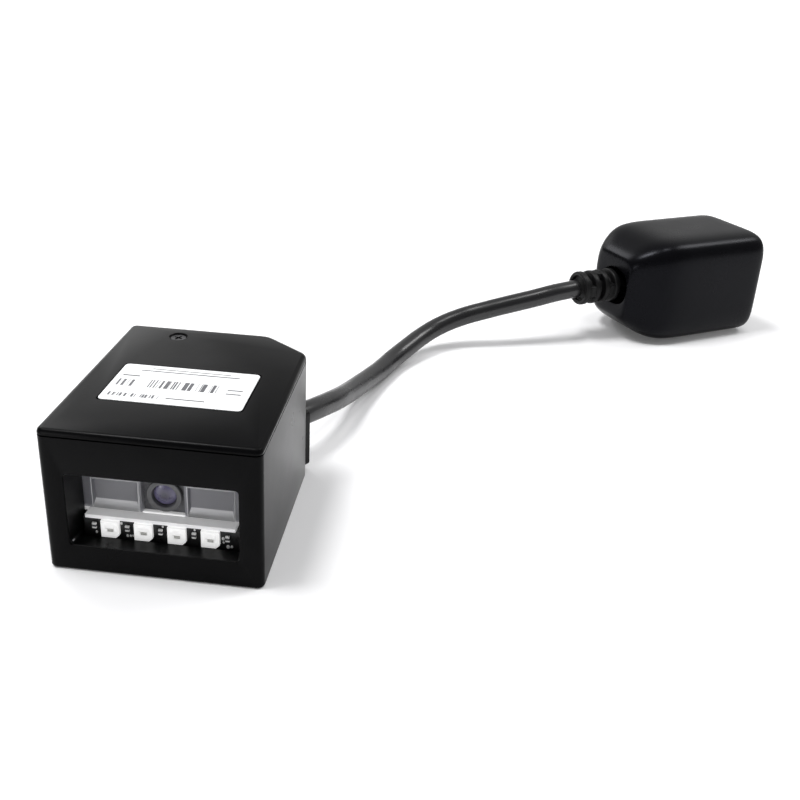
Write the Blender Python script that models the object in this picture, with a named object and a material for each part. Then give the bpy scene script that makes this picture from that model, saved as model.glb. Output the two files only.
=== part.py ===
"""Compact fixed barcode reader.

A moulded housing with a recessed window in its front, a cut rear corner and a screwed lid. Inside are
an imaging engine, a lamp board with four square LEDs and a decoder board. A short cable leaves the cut
corner through a grommet and ends in a ribbed boot and a connector block with a modular jack.

The origin is under the middle of the housing, X to the right, Y to the back, Z up, in metres.
"""

import math

import bmesh
import bpy
from mathutils import Matrix, Vector

# Clearance between two pieces that touch, and how far a cutter runs past what it cuts
GAP = 0.0003
CUT_BEYOND = 0.0010
MERGE_DISTANCE = 0.000001

# Housing
HOUSING_WIDTH = 0.0410
HOUSING_DEPTH = 0.0495
HOUSING_HEIGHT = 0.0294
CHAMFER_ACROSS = 0.0100
CHAMFER_BACK = 0.0078
WALL = 0.0020
FLOOR = 0.0020
CORNER_ROUND = 0.0014
BOTTOM_ROUND = 0.0004

# Lid, its label and its screw
LID_PLATE = 0.0012
LID_ROUND = 0.0009
LID_RIM_HEIGHT = 0.0014
LID_RIM_WALL = 0.0010
LABEL_WIDTH = 0.0280
LABEL_DEPTH = 0.0162
LABEL_THICKNESS = 0.0002
LABEL_RECESS = 0.0004
LABEL_ROUND = 0.0009
LABEL_ACROSS = -0.0004
LABEL_BACK = -0.0036
LID_SCREW_ACROSS = -0.0085
LID_SCREW_FROM_REAR = 0.0048
LID_SCREW_HEAD = 0.0033
LID_SCREW_LENGTH = 0.0080
SCREW_HEAD_EDGE = 0.0001
CROSS_LENGTH_SHARE = 1.2
CROSS_WIDTH_SHARE = 0.3
CROSS_DEPTH_SHARE = 0.45
CROSS_TURN = math.radians(20)
SCREW_SHANK = 0.0020
BOSS_WALL = 0.0012

# Window, its tunnel and the clear cover behind it
WINDOW_WIDTH = 0.0322
WINDOW_HEIGHT = 0.0151
WINDOW_SILL = 0.0055
WINDOW_ROUND = 0.0007
TUNNEL_DEPTH = 0.0061
TUNNEL_DRAFT = 0.0008
COLLAR_WALL = 0.0015
COVER_THICKNESS = 0.0012
COVER_OVERLAP = 0.0014
COVER_LIP = 0.0008
LIP_WIDTH = 0.0288
CELL_WIDTH = 0.0093
CELL_HEIGHT = 0.0068
CELL_CENTRE = 0.0092
CELL_RISE = 0.0132
CELL_DISH = 0.0005
NOTCH_WIDTH = 0.0082

# Lamp board
LED_SIZE = 0.0035
LED_BELOW_SILL = 0.0001
LED_EDGE = 0.00015
LED_THICKNESS = 0.0007
LED_PITCH = 0.0064
LED_COUNT = 4
LED_DISH = 0.0024
LED_DISH_DEPTH = 0.00012
BOARD_THICKNESS = 0.0010
LAMP_BOARD_WIDTH = 0.0300
LAMP_BOARD_BACKSET = 0.0008
LAMP_BOARD_ROOM = 0.0010
LIP_LIFT = 0.0002
RESISTOR_LENGTH = 0.0012
RESISTOR_WIDTH = 0.0008
RESISTOR_HEIGHT = 0.0004
RESISTOR_LIFT = 0.0003

# Imaging engine
LENS_RISE = 0.0134
FRAME_DEPTH = 0.0061
FRAME_WIDTH = 0.0304
FRAME_BOTTOM = 0.0066
FRAME_TOP = 0.0212
WELL_WALL = 0.0008
BARREL_FLANGE = 0.0068
BARREL_FLANGE_DEPTH = 0.0006
BARREL_BODY = 0.0060
BARREL_BORE = 0.0046
BARREL_LENGTH = 0.0042
BARREL_EDGE = 0.0002
BARREL_MOUTH_FLARE = 0.0003
BARREL_MOUTH_DEPTH = 0.0004
BARREL_SEAT = 0.0006
BARREL_SEAT_DEPTH = 0.0010
LENS_SETBACK = 0.0005
LENS_STEPS = 5
LENS_THICKNESS = 0.0011
LENS_SAG = 0.0004
SENSOR_WIDTH = 0.0060
SENSOR_HEIGHT = 0.0054
SENSOR_THICKNESS = 0.0010
SENSOR_RIM = 0.0007
SENSOR_WINDOW_DEPTH = 0.0002
CELL_LED_WIDTH = 0.0030
CELL_LED_HEIGHT = 0.0026
CELL_LED_THICKNESS = 0.0008
CELL_LED_EDGE = 0.0001
SENSOR_BOARD_WIDTH = 0.0292
FRAME_SCREW_SPACING = 0.0220
FRAME_SCREW_GRIP = 0.0024
ENGINE_SCREW_SPACING = 0.0220
ENGINE_SCREW_RISE = 0.0187
ENGINE_SCREW_SHANK = 0.0014
ENGINE_SCREW_HEAD_HEIGHT = 0.0008
ENGINE_SCREW_LENGTH = 0.0040

# Flat flex cable between the two boards
FLEX_WIDTH = 0.0080
FLEX_THICKNESS = 0.0003
FLEX_BEND = 0.0014
FLEX_STRAIGHT = 0.0009
SOCKET_WIDTH = 0.0100
SOCKET_LENGTH = 0.0030
SOCKET_HEIGHT = 0.0016
MOULDED_EDGE = 0.0002

# Main board and what is on it
MAIN_BOARD_SIDE_GAP = 0.0015
MAIN_BOARD_RISE = 0.0050
MAIN_BOARD_SETBACK = 0.0182
MAIN_BOARD_REAR_GAP = 0.0080
MAIN_BOARD_CORNER_GAP = 0.0050
STANDOFF_RADIUS = 0.0022
STANDOFF_SIDE_EDGE = 0.0025
STANDOFF_FRONT_EDGE = 0.0026
STANDOFF_REAR_EDGE = 0.0028
BOARD_SCREW_SHANK = 0.0016
BOARD_SCREW_HEAD = 0.0032
BOARD_SCREW_HEAD_HEIGHT = 0.0012
BOARD_SCREW_LENGTH = 0.0034
PROCESSOR_SIZE = (0.0080, 0.0080, 0.0011)
PROCESSOR_ACROSS = -0.0010
PROCESSOR_SPACE = 0.0006
MEMORY_SIZE = (0.0050, 0.0034, 0.0009)
MEMORY_ACROSS = -0.0089
MEMORY_FROM_FRONT = 0.0022
OSCILLATOR_SIZE = (0.0032, 0.0025, 0.0008)
OSCILLATOR_ACROSS = -0.0090
OSCILLATOR_FROM_REAR = 0.0019
PACKAGE_EDGE_SHARE = 0.12
INTERFACE_SIZE = (0.0040, 0.0049, 0.0015)
INTERFACE_ACROSS = 0.0088
INTERFACE_FROM_FRONT = 0.0036
INTERFACE_LEADS = 4
INTERFACE_LEAD_PITCH = 0.00127
INTERFACE_LEAD_WIDTH = 0.0004
INTERFACE_LEAD_REACH = 0.0011
BEEPER_FROM_SIDE = 0.0068
BEEPER_RADIUS = 0.0030
BEEPER_HEIGHT = 0.0032
BEEPER_EDGE = 0.0003
BEEPER_HOLE_DEPTH = 0.0010
BEEPER_HOLE = 0.0014
HEADER_WIDTH = 0.0086
HEADER_DEPTH = 0.0044
HEADER_HEIGHT = 0.0046
HEADER_WALL = 0.0006
HEADER_FROM_SIDE = 0.0090
HEADER_FROM_REAR = 0.0042
PLUG_RISE = 0.0018
LEAD_COLOURS = [(0.60, 0.03, 0.02), (0.55, 0.55, 0.52), (0.03, 0.30, 0.06), (0.02, 0.02, 0.02)]
LEAD_COUNT = len(LEAD_COLOURS)
LEAD_PITCH = 0.0015
LEAD_DIAMETER = 0.0010
LEAD_LOOP = 0.0055
LEAD_STEPS = 10
LAMP_LEAD_DIAMETER = 0.0009
LAMP_LEAD_PITCH = 0.0024
LAMP_LEAD_LIFT = 0.00135

# Threaded inserts for mounting, in the floor
INSERT_SPACING = 0.0160
INSERT_BACK = 0.0060
INSERT_DIAMETER = 0.0042
INSERT_BORE = 0.0025
INSERT_LENGTH = 0.0034
INSERT_KNURLS = 16
KNURL_DEPTH = 0.00015
INSERT_BOSS_WALL = 0.0009

# Grommet in the cut corner
GROMMET_FLANGE_WIDTH = 0.0112
GROMMET_FLANGE_THICKNESS = 0.0013
GROMMET_BOTTOM = 0.0012
GROMMET_TOP = 0.0148
GROMMET_NECK_WIDTH = 0.0080
GROMMET_NECK_MARGIN = 0.0018
GROMMET_ROUND = 0.0010
GROMMET_INNER_THICKNESS = 0.0012

# Cable: leaves the grommet, sags to the table and rises into the boot
CABLE_DIAMETER = 0.0053
CABLE_STEP = 0.0106
CABLE_ROUTE = [
    (0.01667, 0.02235, 0.0110),
    (0.0194, 0.0272, 0.0102),
    (0.0218, 0.0332, 0.0088),
    (0.0237, 0.0393, 0.0073),
    (0.0252, 0.0460, 0.0059),
    (0.0270, 0.0539, 0.0045),
    (0.0290, 0.0614, 0.0035),
    (0.0312, 0.0685, 0.0030),
    (0.0337, 0.0758, 0.0031),
    (0.0369, 0.0821, 0.0040),
    (0.0407, 0.0884, 0.0053),
    (0.0456, 0.0936, 0.0070),
    (0.0515, 0.0969, 0.0089),
    (0.0584, 0.0988, 0.0109),
    (0.0656, 0.1011, 0.0127),
    (0.0725, 0.1030, 0.0142),
    (0.0778, 0.1056, 0.0153),
    (0.08357, 0.10891, 0.0160),
]

# Connector block: HOOD_PLACE is under the middle of the end face that the boot enters
HOOD_PLACE = (0.0956, 0.11607, 0.0)
HOOD_TURN = math.radians(30.75)
HOOD_LENGTH = 0.0460
HOOD_WIDTH = 0.0306
HOOD_HEIGHT = 0.0319
HOOD_TAPER = 0.0100
TAPER_SIDE = 0.0052
TAPER_TOP = 0.0046
TAPER_BOTTOM = 0.0049
HOOD_ROUND = 0.0061
TAPER_ROUND = 0.0078
END_ROUND = 0.0030

# Boot on the cable, from its thin end to the hood
BOOT_LENGTH = 0.0137
BOOT_RISE = 0.0160
BOOT_RADIUS = 0.0050
BOOT_GROOVE_RADIUS = 0.0038
BOOT_RINGS = 4
BOOT_GROOVE = 0.0013
BOOT_EDGE = 0.0004
BOOT_STEM_RADIUS = 0.0028
BOOT_STEM_LENGTH = 0.0030

# Jack in the hood's far end
JACK_WIDTH = 0.0160
JACK_HEIGHT = 0.0136
JACK_LENGTH = 0.0212
JACK_SOCKET_WIDTH = 0.0118
JACK_SOCKET_HEIGHT = 0.0080
JACK_SOCKET_DEPTH = 0.0130
JACK_LATCH_WIDTH = 0.0062
JACK_LATCH_HEIGHT = 0.0018
JACK_ROUND = 0.0002
CONTACT_COUNT = 8
CONTACT_PITCH = 0.00102
CONTACT_WIDTH = 0.0004
CONTACT_LENGTH = 0.0090
CONTACT_DROP = 0.0016
CONTACT_SETBACK = 0.0015
CARRIER_LENGTH = 0.0016

# Roundness of turned pieces and arcs
TURN_STEPS = 24
SMALL_TURN_STEPS = 16
WIRE_SIDES = 8
ARC_STEPS = 4
SHARP_ANGLE = math.radians(35)

# Places that follow from the sizes above
FRONT = -HOUSING_DEPTH / 2
REAR = HOUSING_DEPTH / 2
SIDE = HOUSING_WIDTH / 2
BODY_TOP = HOUSING_HEIGHT - LID_PLATE - GAP
LID_UNDERSIDE = HOUSING_HEIGHT - LID_PLATE
COVER_FRONT = FRONT + TUNNEL_DEPTH + GAP
COVER_REAR = COVER_FRONT + COVER_THICKNESS
FRAME_FRONT = COVER_REAR + GAP
FRAME_REAR = FRAME_FRONT + FRAME_DEPTH
SENSOR_BOARD_FRONT = FRAME_REAR + GAP
SENSOR_BOARD_REAR = SENSOR_BOARD_FRONT + BOARD_THICKNESS
LAMP_BOARD_REAR = COVER_FRONT - LAMP_BOARD_BACKSET
LAMP_BOARD_FRONT = LAMP_BOARD_REAR - BOARD_THICKNESS
LED_REAR = LAMP_BOARD_FRONT - GAP
LED_FRONT = LED_REAR - LED_THICKNESS
LED_TOP = WINDOW_SILL - LED_BELOW_SILL + LED_SIZE
LIP_BOTTOM = LED_TOP + LIP_LIFT
INNER_ROUND = max(CORNER_ROUND - WALL / 2, CORNER_ROUND / 4)
MAIN_BOARD_WIDTH = HOUSING_WIDTH - 2 * (WALL + MAIN_BOARD_SIDE_GAP)
MAIN_BOARD_FRONT = FRONT + MAIN_BOARD_SETBACK
MAIN_BOARD_BACK = REAR - MAIN_BOARD_REAR_GAP
MAIN_BOARD_TOP = MAIN_BOARD_RISE + BOARD_THICKNESS
PART_SEAT = MAIN_BOARD_TOP + GAP
CABLE_EXIT_RISE = CABLE_ROUTE[0][2]
CHAMFER_MIDDLE = Vector((SIDE - CHAMFER_ACROSS / 2, REAR - CHAMFER_BACK / 2, 0))
CHAMFER_OUT = Vector((CHAMFER_BACK, CHAMFER_ACROSS, 0)).normalized()
CHAMFER_ALONG = Vector((CHAMFER_ACROSS, -CHAMFER_BACK, 0)).normalized()
HOOD_AXIS = Vector((math.cos(HOOD_TURN), math.sin(HOOD_TURN), 0))
HOOD_ACROSS = Vector((-math.sin(HOOD_TURN), math.cos(HOOD_TURN), 0))
UP = Vector((0, 0, 1))
BACK = Vector((0, 1, 0))
RIGHT = Vector((1, 0, 0))


# Materials

def material(name, colour, roughness, metallic=0.0, alpha=1.0):
    """A Principled material with the piece's own colour, roughness and metallic value."""
    made = bpy.data.materials.new(name)
    made.use_nodes = True
    shader = made.node_tree.nodes["Principled BSDF"]
    shader.inputs["Base Color"].default_value = (*colour, 1.0)
    shader.inputs["Roughness"].default_value = roughness
    shader.inputs["Metallic"].default_value = metallic
    shader.inputs["Alpha"].default_value = alpha
    return made


def black_plastic(name):
    return material(name, (0.012, 0.012, 0.013), 0.38)


def clear_plastic(name):
    return material(name, (0.80, 0.82, 0.84), 0.06, alpha=0.35)


def green_laminate(name):
    return material(name, (0.010, 0.045, 0.022), 0.45)


def black_laminate(name):
    return material(name, (0.010, 0.010, 0.012), 0.40)


def steel(name):
    return material(name, (0.55, 0.55, 0.56), 0.30, metallic=1.0)


def blackened_steel(name):
    return material(name, (0.09, 0.09, 0.09), 0.35, metallic=1.0)


def brass(name):
    return material(name, (0.75, 0.55, 0.25), 0.32, metallic=1.0)


def white_plastic(name):
    return material(name, (0.78, 0.77, 0.74), 0.50)


def chip_plastic(name):
    return material(name, (0.020, 0.020, 0.022), 0.55)


# Outlines: lists of flat points

def housing_outline():
    """The housing seen from above, counter-clockwise from its front left corner."""
    return [
        (-SIDE, FRONT),
        (SIDE, FRONT),
        (SIDE, REAR - CHAMFER_BACK),
        (SIDE - CHAMFER_ACROSS, REAR),
        (-SIDE, REAR),
    ]


def inset(corners, distance):
    """Move every side of a counter-clockwise outline inwards by the same distance."""
    moved = []
    for index, corner in enumerate(corners):
        here = Vector(corner)
        arriving = (here - Vector(corners[index - 1])).normalized()
        leaving = (Vector(corners[(index + 1) % len(corners)]) - here).normalized()
        inward = Vector((-leaving.y, leaving.x))
        bisector = (Vector((-arriving.y, arriving.x)) + inward).normalized()
        moved.append(tuple(here + bisector * (distance / bisector.dot(inward))))
    return moved


def rounded_rectangle(width, height, radius):
    """A rectangle about the origin with round corners, counter-clockwise."""
    points = []
    for quarter, (across, up) in enumerate(((1, 1), (-1, 1), (-1, -1), (1, -1))):
        for step in range(ARC_STEPS + 1):
            angle = (quarter + step / ARC_STEPS) * math.pi / 2
            x = across * (width / 2 - radius) + radius * math.cos(angle)
            y = up * (height / 2 - radius) + radius * math.sin(angle)
            points.append((x, y))
    return points


def cross_outline(length, width):
    """A plus sign about the origin, turned off the axes, counter-clockwise."""
    points = []
    for quarter in range(4):
        turn = Matrix.Rotation(CROSS_TURN + quarter * math.pi / 2, 2)
        for x, y in ((width / 2, width / 2), (width / 2, length / 2), (-width / 2, length / 2)):
            points.append(tuple(turn @ Vector((x, y))))
    return points


def filleted(points, radii):
    """An open line through the points, with an arc of the given radius at each inner one."""
    line = [Vector(points[0])]
    for index, radius in enumerate(radii, start=1):
        corner = Vector(points[index])
        before = (Vector(points[index - 1]) - corner).normalized()
        after = (Vector(points[index + 1]) - corner).normalized()
        half_angle = before.angle(after) / 2
        middle = corner + (before + after).normalized() * (radius / math.sin(half_angle))
        start = corner + before * (radius / math.tan(half_angle))
        end = corner + after * (radius / math.tan(half_angle))
        sweep = (start - middle).angle(end - middle)
        for step in range(ARC_STEPS + 1):
            share = step / ARC_STEPS
            weight_start = math.sin((1 - share) * sweep) / math.sin(sweep)
            weight_end = math.sin(share * sweep) / math.sin(sweep)
            line.append(middle + (start - middle) * weight_start + (end - middle) * weight_end)
    line.append(Vector(points[-1]))
    return line


# Solids: each function returns a bmesh

def box(low, high):
    """A box between two opposite corners."""
    bm = bmesh.new()
    size = Vector(high) - Vector(low)
    place = Matrix.Translation((Vector(low) + Vector(high)) / 2) @ Matrix.Diagonal((*size, 1))
    bmesh.ops.create_cube(bm, size=1, matrix=place)
    return bm


def box_at(centre, size):
    """A box about a centre."""
    half = Vector(size) / 2
    return box(Vector(centre) - half, Vector(centre) + half)


def rod(radius, start, end, end_radius=None, steps=TURN_STEPS):
    """A cylinder or cone between two points."""
    bm = bmesh.new()
    start = Vector(start)
    run = Vector(end) - start
    turn = run.to_track_quat("Z", "Y").to_matrix().to_4x4()
    place = Matrix.Translation(start + run / 2) @ turn
    last = radius if end_radius is None else end_radius
    bmesh.ops.create_cone(
        bm, cap_ends=True, segments=steps, radius1=radius, radius2=last, depth=run.length, matrix=place
    )
    return bm


def turned(profile, start, direction, steps=TURN_STEPS):
    """Spin a profile of (distance along the axis, radius), which starts and ends on the axis."""
    bm = bmesh.new()
    verts = [bm.verts.new((radius, 0, along)) for along, radius in profile]
    edges = [bm.edges.new(pair) for pair in zip(verts, verts[1:])]
    bmesh.ops.spin(
        bm, geom=verts + edges, cent=(0, 0, 0), axis=(0, 0, 1), angle=math.tau, steps=steps, use_merge=True
    )
    bmesh.ops.remove_doubles(bm, verts=bm.verts, dist=MERGE_DISTANCE)
    turn = Vector(direction).to_track_quat("Z", "Y").to_matrix().to_4x4()
    bm.transform(Matrix.Translation(start) @ turn)
    return bm


def prism(outline, low, high, corner_round=0.0):
    """Extrude an outline upwards, with its corners rounded."""
    bm = bmesh.new()
    verts = [bm.verts.new((x, y, low)) for x, y in outline]
    bm.faces.new(verts)
    if corner_round:
        bmesh.ops.bevel(
            bm, geom=verts, offset=corner_round, offset_type="OFFSET", segments=ARC_STEPS,
            profile=0.5, affect="VERTICES", material=-1,
        )
    grown = bmesh.ops.extrude_face_region(bm, geom=list(bm.faces))
    top = [item for item in grown["geom"] if isinstance(item, bmesh.types.BMVert)]
    bmesh.ops.translate(bm, verts=top, vec=(0, 0, high - low))
    return bm


def loft(rings):
    """Bridge closed rings of points and cap both ends."""
    bm = bmesh.new()
    loops = []
    for ring in rings:
        verts = [bm.verts.new(point) for point in ring]
        edges = [bm.edges.new((verts[i - 1], verts[i])) for i in range(len(verts))]
        loops.append((verts, edges))
    for (_, edges), (_, next_edges) in zip(loops, loops[1:]):
        bmesh.ops.bridge_loops(bm, edges=edges + next_edges)
    bm.faces.new(loops[0][0])
    bm.faces.new(loops[-1][0])
    return bm


def placed(outline, centre, across, up):
    """Put a flat outline in space."""
    return [Vector(centre) + across * x + up * y for x, y in outline]


def facing_slab(width, height, radius, low_y, high_y, across=0.0, rise=0.0):
    """A slab with round corners that faces the front."""
    outline = rounded_rectangle(width, height, radius)
    ends = [(across, y, rise) for y in (low_y, high_y)]
    return loft([placed(outline, end, RIGHT, UP) for end in ends])


def bevelled(bm, width, segments=2, wanted=lambda edge: True):
    """Bevel the edges that a test picks."""
    edges = [edge for edge in bm.edges if wanted(edge)]
    bmesh.ops.bevel(
        bm, geom=edges, offset=width, offset_type="OFFSET", segments=segments,
        profile=0.5, affect="EDGES", material=-1,
    )
    return bm


def level_edge(height):
    """A test for the edges that lie at one height."""
    def test(edge):
        return all(abs(vert.co.z - height) < MERGE_DISTANCE for vert in edge.verts)
    return test


def merged(solids):
    """Put separate solids that don't touch into one bmesh."""
    whole = bmesh.new()
    for solid in solids:
        mesh = bpy.data.meshes.new("part of a group")
        solid.to_mesh(mesh)
        solid.free()
        whole.from_mesh(mesh)
        bpy.data.meshes.remove(mesh)
    return whole


# Objects

def piece(name, bm, finish):
    """Make a bmesh the mesh of a new object."""
    bmesh.ops.recalc_face_normals(bm, faces=bm.faces)
    if bm.calc_volume(signed=True) < 0:
        bmesh.ops.reverse_faces(bm, faces=bm.faces)
    mesh = bpy.data.meshes.new(name)
    bm.to_mesh(mesh)
    bm.free()
    made = bpy.data.objects.new(name, mesh)
    bpy.context.scene.collection.objects.link(made)
    if finish:
        mesh.materials.append(finish)
        shade(mesh)
    return made


def shade(mesh):
    """Smooth shading that keeps the sharp edges."""
    mesh.shade_smooth()
    mesh.set_sharp_from_angle(angle=SHARP_ANGLE)


def combine(target, bm, operation):
    """Join a solid to an object, or cut it away, with a Boolean."""
    finish = target.data.materials[0]
    tool = piece("tool", bm, None)
    modifier = target.modifiers.new("Shape", "BOOLEAN")
    modifier.operation = operation
    modifier.solver = "MANIFOLD"
    modifier.object = tool
    bpy.context.view_layer.update()
    graph = bpy.context.evaluated_depsgraph_get()
    mesh = bpy.data.meshes.new_from_object(target.evaluated_get(graph))
    target.modifiers.clear()
    mesh.materials.clear()
    mesh.materials.append(finish)
    shade(mesh)
    target.data = mesh
    bpy.data.objects.remove(tool)


def join(target, *solids):
    for solid in solids:
        combine(target, solid, "UNION")


def cut(target, *solids):
    for solid in solids:
        combine(target, solid, "DIFFERENCE")


# Places shared by pieces that fit each other

def window_middle():
    return WINDOW_SILL + WINDOW_HEIGHT / 2


def lid_screw_place():
    return Vector((LID_SCREW_ACROSS, REAR - LID_SCREW_FROM_REAR, 0))


def frame_screw_places():
    y = FRAME_FRONT + FRAME_DEPTH / 2
    return [Vector((side * FRAME_SCREW_SPACING / 2, y, 0)) for side in (-1, 1)]


def engine_screw_places():
    x = ENGINE_SCREW_SPACING / 2
    return [Vector((side * x, SENSOR_BOARD_REAR, ENGINE_SCREW_RISE)) for side in (-1, 1)]


def standoff_places():
    x = MAIN_BOARD_WIDTH / 2 - STANDOFF_SIDE_EDGE
    front = MAIN_BOARD_FRONT + STANDOFF_FRONT_EDGE
    rear = MAIN_BOARD_BACK - STANDOFF_REAR_EDGE
    return [Vector((-x, front, 0)), Vector((x, front, 0)), Vector((-x, rear, 0))]


def insert_places():
    return [Vector((side * INSERT_SPACING / 2, INSERT_BACK, 0)) for side in (-1, 1)]


def header_place():
    return Vector((MAIN_BOARD_WIDTH / 2 - HEADER_FROM_SIDE, MAIN_BOARD_BACK - HEADER_FROM_REAR, PART_SEAT))


def hood_point(along, across=0.0, rise=0.0):
    """A point of the connector block, from the middle of its end face on the table."""
    return Vector(HOOD_PLACE) + HOOD_AXIS * along + HOOD_ACROSS * across + UP * rise


def chamfer_point(out, along=0.0, rise=0.0):
    """A point at the cut corner, from the middle of its face."""
    return CHAMFER_MIDDLE + CHAMFER_OUT * out + CHAMFER_ALONG * along + UP * rise


# Housing

def tunnel():
    """The window's opening as a solid to cut: its sides and roof close in, its sill is level."""
    slope = TUNNEL_DRAFT / TUNNEL_DEPTH
    rings = []
    for y in (FRONT - CUT_BEYOND, FRONT + TUNNEL_DEPTH + CUT_BEYOND):
        narrowing = slope * (y - FRONT)
        outline = rounded_rectangle(WINDOW_WIDTH - 2 * narrowing, WINDOW_HEIGHT - narrowing, WINDOW_ROUND)
        rings.append(placed(outline, (0, y, window_middle() - narrowing / 2), RIGHT, UP))
    return loft(rings)


def collar():
    """The wall round the tunnel, behind the front wall."""
    width = WINDOW_WIDTH + 2 * COLLAR_WALL
    height = WINDOW_HEIGHT + 2 * COLLAR_WALL
    inside_wall = FRONT + WALL / 2
    return facing_slab(width, height, WINDOW_ROUND, inside_wall, FRONT + TUNNEL_DEPTH, rise=window_middle())


def lamp_board_notch():
    """Room for the lamp board and its LEDs under the cover's lip."""
    half = LAMP_BOARD_WIDTH / 2 + GAP
    low = (-half, LED_FRONT - GAP, FLOOR)
    high = (half, FRONT + TUNNEL_DEPTH + WALL, WINDOW_SILL + LAMP_BOARD_ROOM)
    return box(low, high)


def boss(place, radius, top):
    """A post that stands on the floor and is one with it."""
    return rod(radius, place + UP * FLOOR / 2, place + UP * top)


def housing_body():
    """Open-topped shell with the window tunnel, the posts and the grommet's slot."""
    shell = prism(housing_outline(), 0, BODY_TOP, CORNER_ROUND)
    bevelled(shell, BOTTOM_ROUND, 2, level_edge(0))
    body = piece("housing_body", shell, black_plastic("housing plastic"))
    cut(body, prism(inset(housing_outline(), WALL), FLOOR, BODY_TOP + WALL, INNER_ROUND))
    join(body, collar())
    cut(body, tunnel(), lamp_board_notch())

    screw_hole = SCREW_SHANK / 2 + GAP
    lid_boss_top = LID_UNDERSIDE - LID_RIM_HEIGHT - GAP
    lid_boss = lid_screw_place()
    join(body, boss(lid_boss, screw_hole + BOSS_WALL, lid_boss_top))
    lid_hole_bottom = HOUSING_HEIGHT - LID_SCREW_LENGTH - 2 * GAP
    cut(body, rod(screw_hole, lid_boss + UP * lid_hole_bottom, lid_boss + UP * HOUSING_HEIGHT))

    for place in frame_screw_places():
        join(body, boss(place, screw_hole + BOSS_WALL, FRAME_BOTTOM - GAP))
        cut(body, rod(screw_hole, place - UP * FLOOR, place + UP * FRAME_BOTTOM))
        cut(body, frame_screw_sink(place))

    board_hole = BOARD_SCREW_SHANK / 2 + GAP
    for place in standoff_places():
        join(body, boss(place, STANDOFF_RADIUS, MAIN_BOARD_RISE - GAP))
        cut(body, rod(board_hole, place + UP * standoff_hole_bottom(), place + UP * HOUSING_HEIGHT / 2))

    insert_hole = INSERT_DIAMETER / 2 + GAP
    hole_top = INSERT_LENGTH + 2 * GAP
    for place in insert_places():
        join(body, boss(place, insert_hole + INSERT_BOSS_WALL, hole_top + INSERT_BOSS_WALL))
        cut(body, rod(insert_hole, place - UP * FLOOR, place + UP * hole_top))

    cut(body, grommet_slot())
    return body


def frame_screw_sink(place):
    """Countersink in the underside for a frame screw."""
    wide = SCREW_SHANK + GAP
    return rod(wide + GAP, place - UP * GAP, place + UP * (wide - SCREW_SHANK / 2), SCREW_SHANK / 2 + GAP)


def standoff_hole_bottom():
    return MAIN_BOARD_TOP + GAP - BOARD_SCREW_LENGTH - GAP


def grommet_outline(width, margin):
    """Face of a grommet layer, seen from outside."""
    return rounded_rectangle(width, GROMMET_TOP - GROMMET_BOTTOM - 2 * margin, GROMMET_ROUND)


def grommet_layer(width, margin, inner, outer):
    """A layer of the grommet between two distances from the corner's face."""
    middle = (GROMMET_TOP + GROMMET_BOTTOM) / 2
    outline = grommet_outline(width, margin)
    ends = [chamfer_point(out, 0, middle) for out in (inner, outer)]
    return loft([placed(outline, end, CHAMFER_ALONG, UP) for end in ends])


def grommet_slot():
    """Opening in the cut corner's wall for the grommet's neck."""
    return grommet_layer(GROMMET_NECK_WIDTH + 2 * GAP, GROMMET_NECK_MARGIN - GAP, -WALL * 1.5, WALL / 2)


def housing_lid():
    """Cover plate with a locating rim, a recess for the label and a countersunk hole."""
    plate = prism(housing_outline(), LID_UNDERSIDE, HOUSING_HEIGHT, CORNER_ROUND)
    bevelled(plate, LID_ROUND, 3, level_edge(HOUSING_HEIGHT))
    lid = piece("housing_lid", plate, black_plastic("lid plastic"))
    outside = inset(housing_outline(), WALL + GAP)
    inside = inset(housing_outline(), WALL + GAP + LID_RIM_WALL)
    rim_bottom = LID_UNDERSIDE - LID_RIM_HEIGHT
    rim = prism(outside, rim_bottom, LID_UNDERSIDE + LID_PLATE / 2, INNER_ROUND)
    rim_object = piece("rim", rim, black_plastic("rim plastic"))
    cut(rim_object, prism(inside, rim_bottom - LID_PLATE, HOUSING_HEIGHT, INNER_ROUND))
    rim_bm = bmesh.new()
    rim_bm.from_mesh(rim_object.data)
    bpy.data.objects.remove(rim_object)
    place = lid_screw_place()
    head = LID_SCREW_HEAD / 2
    shank = SCREW_SHANK / 2
    pillar_top = place + UP * (LID_UNDERSIDE + LID_PLATE / 2)
    join(lid, rim_bm, rod(shank + GAP + BOSS_WALL, place + UP * rim_bottom, pillar_top))
    recess_bottom = HOUSING_HEIGHT - LABEL_RECESS
    clear_of_top = HOUSING_HEIGHT + CUT_BEYOND
    cut(lid, label_slab(LABEL_WIDTH + GAP, LABEL_DEPTH + GAP, recess_bottom, clear_of_top))
    cut(lid, rod(shank + GAP, place + UP * (rim_bottom - CUT_BEYOND), place + UP * clear_of_top))
    sink_top = place + UP * HOUSING_HEIGHT
    cut(lid, rod(shank + GAP, sink_top - UP * (head - shank + GAP), sink_top + UP * GAP, head + 2 * GAP))
    return lid


def label_slab(width, depth, low, high):
    """The label's form between two heights."""
    outline = rounded_rectangle(width, depth, LABEL_ROUND)
    return prism([(x + LABEL_ACROSS, y + LABEL_BACK) for x, y in outline], low, high)


def lid_label():
    low = HOUSING_HEIGHT - LABEL_RECESS + GAP
    slab = label_slab(LABEL_WIDTH - GAP, LABEL_DEPTH - GAP, low, low + LABEL_THICKNESS)
    return piece("lid_label", slab, material("label paper", (0.80, 0.80, 0.80), 0.45))


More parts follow.
